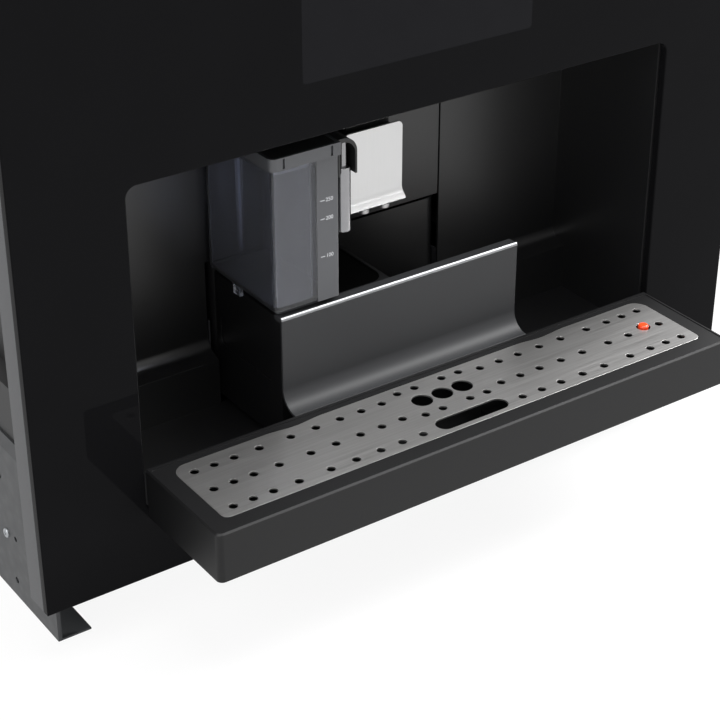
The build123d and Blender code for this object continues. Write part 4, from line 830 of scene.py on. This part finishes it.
@dataclass(frozen=True)
class Button:
    """Red button on its stem, which shows how far the float has risen.

    Args:
        radius: Radius of the button.
        low: Height of its underside.
        top: Height of its crown.
        rim: Radius of the rounding round its crown.
        rim_steps: Faces over that rounding.
        chamfer: Chamfer round its underside.
        stem: Radius of the stem.
        foot: Height of the stem's lower end.
    """

    radius: float = 3.95
    low: float = 80.2
    top: float = 86.6
    rim: float = 1.4
    rim_steps: int = 6
    chamfer: float = 0.3
    stem: float = 2.2
    foot: float = 61.0

    def profile(self) -> list[Pair]:
        """Draws half of the upright section.

        Returns:
            Radius and height of its points, from the stem's foot to the crown.
        """
        points = [(0, self.foot), (self.stem, self.foot), (self.stem, self.low)]
        points += [(self.radius - self.chamfer, self.low), (self.radius, self.low + self.chamfer)]
        middle = (self.radius - self.rim, self.top - self.rim)
        return [*points, *arc(middle, self.rim, 0, 90, self.rim_steps), (0, self.top)]


@dataclass
class Grille(SubAssembly):
    """Perforated plate over the tray and the red button of the float.

    Args:
        half_width: Half the width of the plate.
        front: Its front side.
        back: Its back side.
        bottom: Its underside.
        thickness: Its thickness.
        front_corner: Radius of its front corners.
        back_corner: Radius of its back corners.
        corner_steps: Edges round a corner.
        notch_x: Distance of both notches in its back side from the middle.
        notch_length: Length of a notch with its smooth ends.
        notch_depth: Depth of a notch.
        notch_steps: Edges along a notch.
        hole_radius: Radius of a small hole.
        columns: Places of the small holes to both sides.
        rows: Their rows.
        centre_columns: Places of the small holes near the middle.
        centre_rows: Their rows.
        drain_radius: Radius of a large drain.
        drains: Places of the large drains.
        drain_row: Their row.
        slot_length: Length of the finger slot.
        slot_width: Its width.
        slot_row: Its row.
        slot_steps: Edges round an end of the slot.
        float_hole: Place and radius of the hole for the button.
        segments: Points round a hole and round the button.
        edge: Deburred edges.
        button: The button.
    """

    half_width: float = 205.0
    front: float = -76.3
    back: float = -6.7
    bottom: float = 83.1
    thickness: float = 1.5
    front_corner: float = 5.5
    back_corner: float = 11.0
    corner_steps: int = 10
    notch_x: float = 108.0
    notch_length: float = 45.9
    notch_depth: float = 2.0
    notch_steps: int = 24
    hole_radius: float = 3.05
    columns: tuple[float, ...] = (43.1, 60.4, 78.1, 98.0, 118.2, 143.2, 162.9, 178.2, 193.2)
    rows: tuple[float, ...] = (-18.5, -43.0, -66.9)
    centre_columns: tuple[float, ...] = (11.9, 26.8)
    centre_rows: tuple[float, ...] = (-14.1, -47.5)
    drain_radius: float = 7.65
    drains: tuple[float, ...] = (-17.5, 0.0, 17.5)
    drain_row: float = -31.0
    slot_length: float = 60.0
    slot_width: float = 14.0
    slot_row: float = -65.0
    slot_steps: int = 16
    float_hole: Triple = (180.5, -40.0, 5.35)
    segments: int = 40
    edge: EdgeRound = EdgeRound(0.22, 2, 50.0)
    button: Button = Button()

    def build(self) -> None:
        """Builds the plate and the button."""
        self.add_plate()
        self.add_button()

    def notch(self, x: float) -> list[Pair]:
        """Points of a shallow notch in the back side, from its right end to its left one.

        Args:
            x: Middle of the notch.

        Returns:
            Points on the curve of the notch.
        """
        steps = [1 - 2 * n / self.notch_steps for n in range(self.notch_steps + 1)]
        half, depth = self.notch_length / 2, self.notch_depth
        return [(x + half * s, self.back - depth * math.cos(math.pi * s / 2) ** 2) for s in steps]

    def outline(self) -> list[Pair]:
        """Outline of the plate, counter-clockwise from its front left corner.

        Returns:
            The points of the outline.
        """
        x, low, high, count = self.half_width, self.front, self.back, self.corner_steps
        r, s = self.front_corner, self.back_corner
        points = arc((r - x, low + r), r, 180, 270, count)
        points += arc((x - r, low + r), r, 270, 360, count)
        points += arc((x - s, high - s), s, 0, 90, count)
        points += self.notch(self.notch_x) + self.notch(-self.notch_x)
        return points + arc((s - x, high - s), s, 90, 180, count)

    def finger_slot(self) -> list[Pair]:
        """Outline of the finger slot.

        Returns:
            The points of its two round ends.
        """
        radius, row = self.slot_width / 2, self.slot_row
        reach = self.slot_length / 2 - radius
        right = arc((reach, row), radius, -90, 90, self.slot_steps)
        return right + arc((-reach, row), radius, 90, 270, self.slot_steps)

    def holes(self) -> list[Triple]:
        """Place and radius of each round hole.

        Returns:
            X, Y and radius of the holes, with none of the small ones too near to the button's.
        """
        grids = ((self.rows, self.columns), (self.centre_rows, self.centre_columns))
        places = [(s * x, y) for ys, xs in grids for y in ys for x in xs for s in (-1, 1)]
        middle, clear = Vector(self.float_hole[:2]), 2 * self.float_hole[2]
        found = [(*p, self.hole_radius) for p in places if (Vector(p) - middle).length > clear]
        found += [(x, self.drain_row, self.drain_radius) for x in self.drains]
        return found + [self.float_hole]

    def plan(self) -> Mesh:
        """Draws what the node group punches.

        Returns:
            Edges of the outline and the slot, and a loose point for each hole with its radius.
        """
        mesh = bpy.data.meshes.new("grille")
        points, edges, holes = [], [], self.holes()
        for loop in (self.outline(), self.finger_slot()):
            start, count = len(points), len(loop)
            edges += [(start + n, start + (n + 1) % count) for n in range(count)]
            points += [TO_FRAME @ Vector((x, y, 0)) for x, y in loop]
        radii = [0.0] * len(points) + [radius * MM for _, _, radius in holes]
        points += [TO_FRAME @ Vector((x, y, 0)) for x, y, _ in holes]
        mesh.from_pydata(points, edges, [])
        mesh.attributes.new("radius", "FLOAT", "POINT").data.foreach_set("value", radii)
        return mesh

    def add_plate(self) -> None:
        """Punches the plate with geometry nodes."""
        group = Group(
            "grille",
            Height=(TO_FRAME @ Vector((0, 0, self.bottom))).z,
            Thickness=self.thickness * MM,
            Segments=self.segments,
            Material=finish_of["brushed_steel"],
        )
        radius = group.add("GeometryNodeInputNamedAttribute", {"Name": "radius"})[0]
        is_hole = group.add("FunctionNodeCompare", {0: radius, 1: 0.0}, operation="GREATER_THAN")
        split = {"Geometry": group.enter["Geometry"], "Selection": is_hole[0]}
        split = group.add("GeometryNodeSeparateGeometry", split, domain="POINT")
        circle = {"Resolution": group.enter["Segments"]}
        circle = group.add("GeometryNodeCurvePrimitiveCircle", circle)[0]
        rings = group.instances(split[0], circle, Scale=radius)
        rings = group.add("GeometryNodeRealizeInstances", {"Geometry": rings})[0]
        sides = group.add("GeometryNodeMeshToCurve", {"Mesh": split[1]})[0]
        curves = group.add("GeometryNodeJoinGeometry", {"Geometry": [rings, sides]})[0]
        face = group.add("GeometryNodeFillCurve", {"Curve": curves}, mode="TRIANGLES")[0]
        slab = group.slab(face, group.enter["Thickness"])
        lift = group.add("ShaderNodeCombineXYZ", {"Z": group.enter["Height"]})[0]
        slab = group.add("GeometryNodeSetPosition", {"Geometry": slab, "Offset": lift})[0]
        obj = group.run("grille_plate", self.plan(), slab)
        rounded(obj, self.edge)
        self.deliver(obj, "drip_grille")

    def add_button(self) -> None:
        """Turns the red button with its stem."""
        mesh = revolved("button", self.button.profile(), self.float_hole[:2], self.segments)
        obj = new_object("red_button", mesh)
        rounded(obj, None)
        self.deliver(obj, "float_button")


@dataclass
class DripModule(SubAssembly):
    """Tray, front panel, milk cradle and grounds box, which slide out together.

    Args:
        mould_edge: Edges of moulded pieces.
        trim_edge: Edges of the bright trim.
        wall_from: Height over which points of the carrier belong to the top of its right wall.
        wall_top: Height of that wall once it is cut down, under the line of sight over the front
            panel, behind which no wall shows.
        upward: Least upward share in the normal of a face of the trim that takes the panel's dark
        coat, which stands for the coat on the trim's top and is also painted shade that keeps
        the trim's bright line narrow.
    """

    mould_edge: EdgeRound = EdgeRound(0.35, 2)
    trim_edge: EdgeRound = EdgeRound(0.25, 2)
    wall_from: float = 100.0
    wall_top: float = 88.0
    upward: float = 0.9

    def build(self) -> None:
        """Builds the module."""
        self.refine(self.mould_edge, "drip_tray", "centre_panel", "milk_cradle", "cradle_mat")
        self.refine(self.mould_edge, "grounds_box", "float_guide", "level_float")
        (carrier,) = self.refine(self.mould_edge, "module_carrier")
        low, high = (TO_FRAME @ Vector((0, 0, z)) for z in (self.wall_top, self.wall_from))
        for point in carrier.data.vertices:
            if point.co.z > high.z:
                point.co.z = low.z
        (trim,) = self.refine(self.trim_edge, "panel_edge_trim")
        # faces of the trim that face up take the panel's dark coat: the coat on its top, and
        # painted shade that keeps its bright line narrow
        trim.data.materials.append(finish_of["panel_black"])
        for face in trim.data.polygons:
            face.material_index = int(face.normal.z > self.upward)


@dataclass
class MilkJug(SubAssembly):
    """Clear container in its holder, with lid, hood and spout.

    Args:
        mould_edge: Edges of moulded pieces.
        pipe_edge: Edges of the pipes.
        mark_x: Middle of the level marks.
        mark_y: Face of the holder that carries them.
        marks: Height of each mark and its plain number.
        mark_length: Length of a mark.
        mark_width: Width of a mark.
        mark_gap: Gap between a mark and its number.
        digit_height: Height of the numbers.
        digit_share: Height of a number as a share of the font's size.
        digit_steps: Steps between the points of a number's curves.
        ink: Thickness of the print.
    """

    mould_edge: EdgeRound = EdgeRound()
    pipe_edge: EdgeRound = EdgeRound(0.2, 2)
    mark_x: float = -66.5
    mark_y: float = 17.5
    marks: tuple[tuple[float, str], ...] = ((231.3, "250"), (217.8, "200"), (190.0, "100"))
    mark_length: float = 3.4
    mark_width: float = 0.5
    mark_gap: float = 0.8
    digit_height: float = 2.9
    digit_share: float = 0.72
    digit_steps: int = 3
    ink: float = 0.05

    def build(self) -> None:
        """Builds the jug."""
        self.refine(self.mould_edge, "milk_container", "milk_holder", "milk_lid")
        self.refine(self.mould_edge, "milk_lid_cover", "milk_hood", "milk_spout")
        self.refine(self.pipe_edge, "suction_tube", "milk_nozzle")
        self.add_marks()

    def add_marks(self) -> None:
        """Prints the level marks and their numbers on the holder."""
        ink = MARK_INK.make()
        points = [(self.mark_x, self.mark_y - self.ink / 2, height) for height, _ in self.marks]
        group = Group(
            "level marks",
            Length=self.mark_length * MM,
            Width=self.mark_width * MM,
            Ink=self.ink * MM,
            Material=ink,
        )
        size = {"X": group.enter["Length"], "Y": group.enter["Ink"], "Z": group.enter["Width"]}
        size = group.add("ShaderNodeCombineXYZ", size)[0]
        tick = group.add("GeometryNodeMeshCube", {"Size": size})[0]
        ticks = group.instances(group.enter["Geometry"], tick)
        obj = group.run("level_ticks", mesh_of("ticks", points), ticks)
        self.deliver(obj, like="milk_holder", slot="holder_grey")
        for height, text in self.marks:
            self.add_number(height, text, ink)

    def add_number(self, height: float, text: str, ink: Material) -> None:
        """Prints one number right of its mark.

        Args:
            height: Height of the mark.
            text: The number.
            ink: Material of the print.
        """
        curve = bpy.data.curves.new("number " + text, "FONT")
        curve.body = text
        curve.size = self.digit_height * MM / self.digit_share
        curve.extrude = self.ink / 2 * MM
        curve.align_y = "CENTER"
        curve.resolution_u = self.digit_steps
        letter = new_object("number_" + text, curve)
        graph = bpy.context.evaluated_depsgraph_get()
        mesh = bpy.data.meshes.new_from_object(letter.evaluated_get(graph))
        bpy.data.objects.remove(letter)
        left = self.mark_x + self.mark_length / 2 + self.mark_gap
        place = TO_FRAME @ Vector((left, self.mark_y - self.ink / 2, height))
        mesh.transform(Matrix.Translation(place) @ UPRIGHT)
        mesh.materials.clear()
        mesh.materials.append(ink)
        obj = new_object("number_" + text, mesh)
        self.deliver(obj, like="milk_holder", slot="holder_grey")


@dataclass
class Outlet(SubAssembly):
    """Coffee outlet: plate, block and nozzles on the sliding arm.

    Args:
        sheet_edge: Edges of the bent plate.
        mould_edge: Edges of the block and the arm.
        turned_edge: Edges of nozzles and rods.
    """

    sheet_edge: EdgeRound = EdgeRound(0.3, 3)
    mould_edge: EdgeRound = EdgeRound(0.5, 2)
    turned_edge: EdgeRound = EdgeRound(0.25, 2)

    def build(self) -> None:
        """Builds the outlet."""
        self.refine(self.sheet_edge, "outlet_plate")
        self.refine(self.mould_edge, "nozzle_block", "outlet_arm")
        self.refine(self.turned_edge, "outlet_nozzles", "outlet_rods")


# ---- studio
WHITE = (1.0, 1.0, 1.0, 1.0)


@dataclass(frozen=True)
class Lamp:
    """A soft box.

    Args:
        name: Name of the lamp.
        azimuth: Direction from the machine in degrees, 0 to its front and 90 to its right.
        elevation: Height above the horizon in degrees.
        distance: Distance in metres.
        size: Width of the box in metres.
        power: Power in watts.
    """

    name: str
    azimuth: float
    elevation: float
    distance: float
    size: float
    power: float


@dataclass
class Studio:
    """Pale floor, soft light and a camera at the photograph's viewing angle.

    Args:
        azimuth: Viewing direction in degrees.
        elevation: Height of the camera over the horizon in degrees.
        lens: Focal length in millimetres.
        eye: Place of the camera.
        clip: Nearest and farthest distance that the camera sees, in metres.
        floor_reach: Half the width of the floor in metres.
        floor_color: Colour of the floor.
        floor_glow: Share of plain white in the floor as the camera and mirrors see it.
        daylight: Strength of the room as light.
        lamps: Soft boxes.
    """

    azimuth: float = -34.9
    elevation: float = 29.83
    lens: float = 93.45
    eye: Triple = (-689.51, -918.94, 754.79)
    clip: Pair = (0.05, 50.0)
    floor_reach: float = 6.0
    floor_color: str = "fafafa"
    floor_glow: float = 0.9
    daylight: float = 0.45
    lamps: tuple[Lamp, ...] = (
        Lamp("key", 80, 38, 2.4, 1.2, 130),
        Lamp("front", 50, 50, 2.4, 0.9, 22),
        Lamp("fill", -60, 30, 2.6, 1.8, 40),
        Lamp("top", 0, 75, 2.4, 1.6, 48),
    )

    def build(self) -> None:
        """Builds the studio."""
        self.add_floor()
        self.add_world()
        for lamp in self.lamps:
            self.add_lamp(lamp)
        self.add_camera()

    def seen_share(self, tree: NodeTree) -> NodeSocket:
        """Tells whether the camera, a mirror or a clear piece looks at a surface.

        Args:
            tree: Node tree that gets the nodes.

        Returns:
            A socket that is 1 for such a look and 0 for light.
        """
        rays = add_node(tree, "ShaderNodeLightPath")
        seen = rays["Is Camera Ray"]
        for other in ("Is Glossy Ray", "Is Transmission Ray"):
            either = {0: seen, 1: rays[other]}
            seen = add_node(tree, "ShaderNodeMath", either, operation="MAXIMUM")[0]
        return seen

    def add_floor(self) -> None:
        """Adds a white floor that keeps the machine's shadow."""
        reach = self.floor_reach
        corners = [(-reach, -reach, 0), (reach, -reach, 0), (reach, reach, 0), (-reach, reach, 0)]
        mesh = bpy.data.meshes.new("floor")
        mesh.from_pydata(corners, [], [(0, 1, 2, 3)])
        floor = new_object("floor", mesh)
        material = bpy.data.materials.new("floor, white paint")
        material.use_nodes = True
        tree = material.node_tree
        tree.nodes.clear()
        paint = add_node(tree, "ShaderNodeBsdfDiffuse", {"Color": linear(self.floor_color)})[0]
        white = add_node(tree, "ShaderNodeEmission", {"Color": WHITE})[0]
        share = {0: self.seen_share(tree), 1: self.floor_glow}
        share = add_node(tree, "ShaderNodeMath", share, operation="MULTIPLY")[0]
        mix = add_node(tree, "ShaderNodeMixShader", {0: share, 1: paint, 2: white})[0]
        add_node(tree, "ShaderNodeOutputMaterial", {"Surface": mix})
        mesh.materials.append(material)

    def add_world(self) -> None:
        """Adds a white room: strength 1 where it is seen, less as light."""
        world = bpy.data.worlds.new("white room")
        bpy.context.scene.world = world
        world.use_nodes = True
        tree = world.node_tree
        tree.nodes.clear()
        light = {"Value": self.seen_share(tree), "To Min": self.daylight, "To Max": 1.0}
        light = add_node(tree, "ShaderNodeMapRange", light)[0]
        sky = add_node(tree, "ShaderNodeBackground", {"Color": WHITE, "Strength": light})[0]
        add_node(tree, "ShaderNodeOutputWorld", {"Surface": sky})

    def add_lamp(self, lamp: Lamp) -> None:
        """Adds a soft box that faces the machine.

        Args:
            lamp: Its place, size and power.
        """
        data = bpy.data.lights.new(lamp.name, "AREA")
        data.shape = "SQUARE"
        data.size = lamp.size
        data.energy = lamp.power
        obj = new_object(lamp.name, data)
        a, e = math.radians(lamp.azimuth), math.radians(lamp.elevation)
        back = Vector((math.sin(a) * math.cos(e), -math.cos(a) * math.cos(e), math.sin(e)))
        centre = sum(cad_box, Vector()) / 2
        obj.location = centre + back * lamp.distance
        obj.rotation_euler = (-back).to_track_quat("-Z", "Y").to_euler()

    def add_camera(self) -> None:
        """Adds the camera at the photograph's viewing angle."""
        data = bpy.data.cameras.new("camera")
        data.lens = self.lens
        data.clip_start, data.clip_end = self.clip
        camera = new_object("camera", data)
        camera.location = TO_FRAME @ Vector(self.eye)
        camera.rotation_euler = (math.radians(90 - self.elevation), 0, math.radians(self.azimuth))
        bpy.context.scene.camera = camera


def main() -> None:
    """Builds the machine and the studio."""
    logging.basicConfig(level=logging.INFO, format="%(message)s")
    for part in (Fascia, Niche, Chassis, Works, DripModule, Grille, MilkJug, Outlet):
        log.info("-- %s", part.__name__)
        part().build()
    Studio().build()
    bpy.context.scene.view_settings.view_transform = "Standard"


if __name__ == "__main__":
    main()
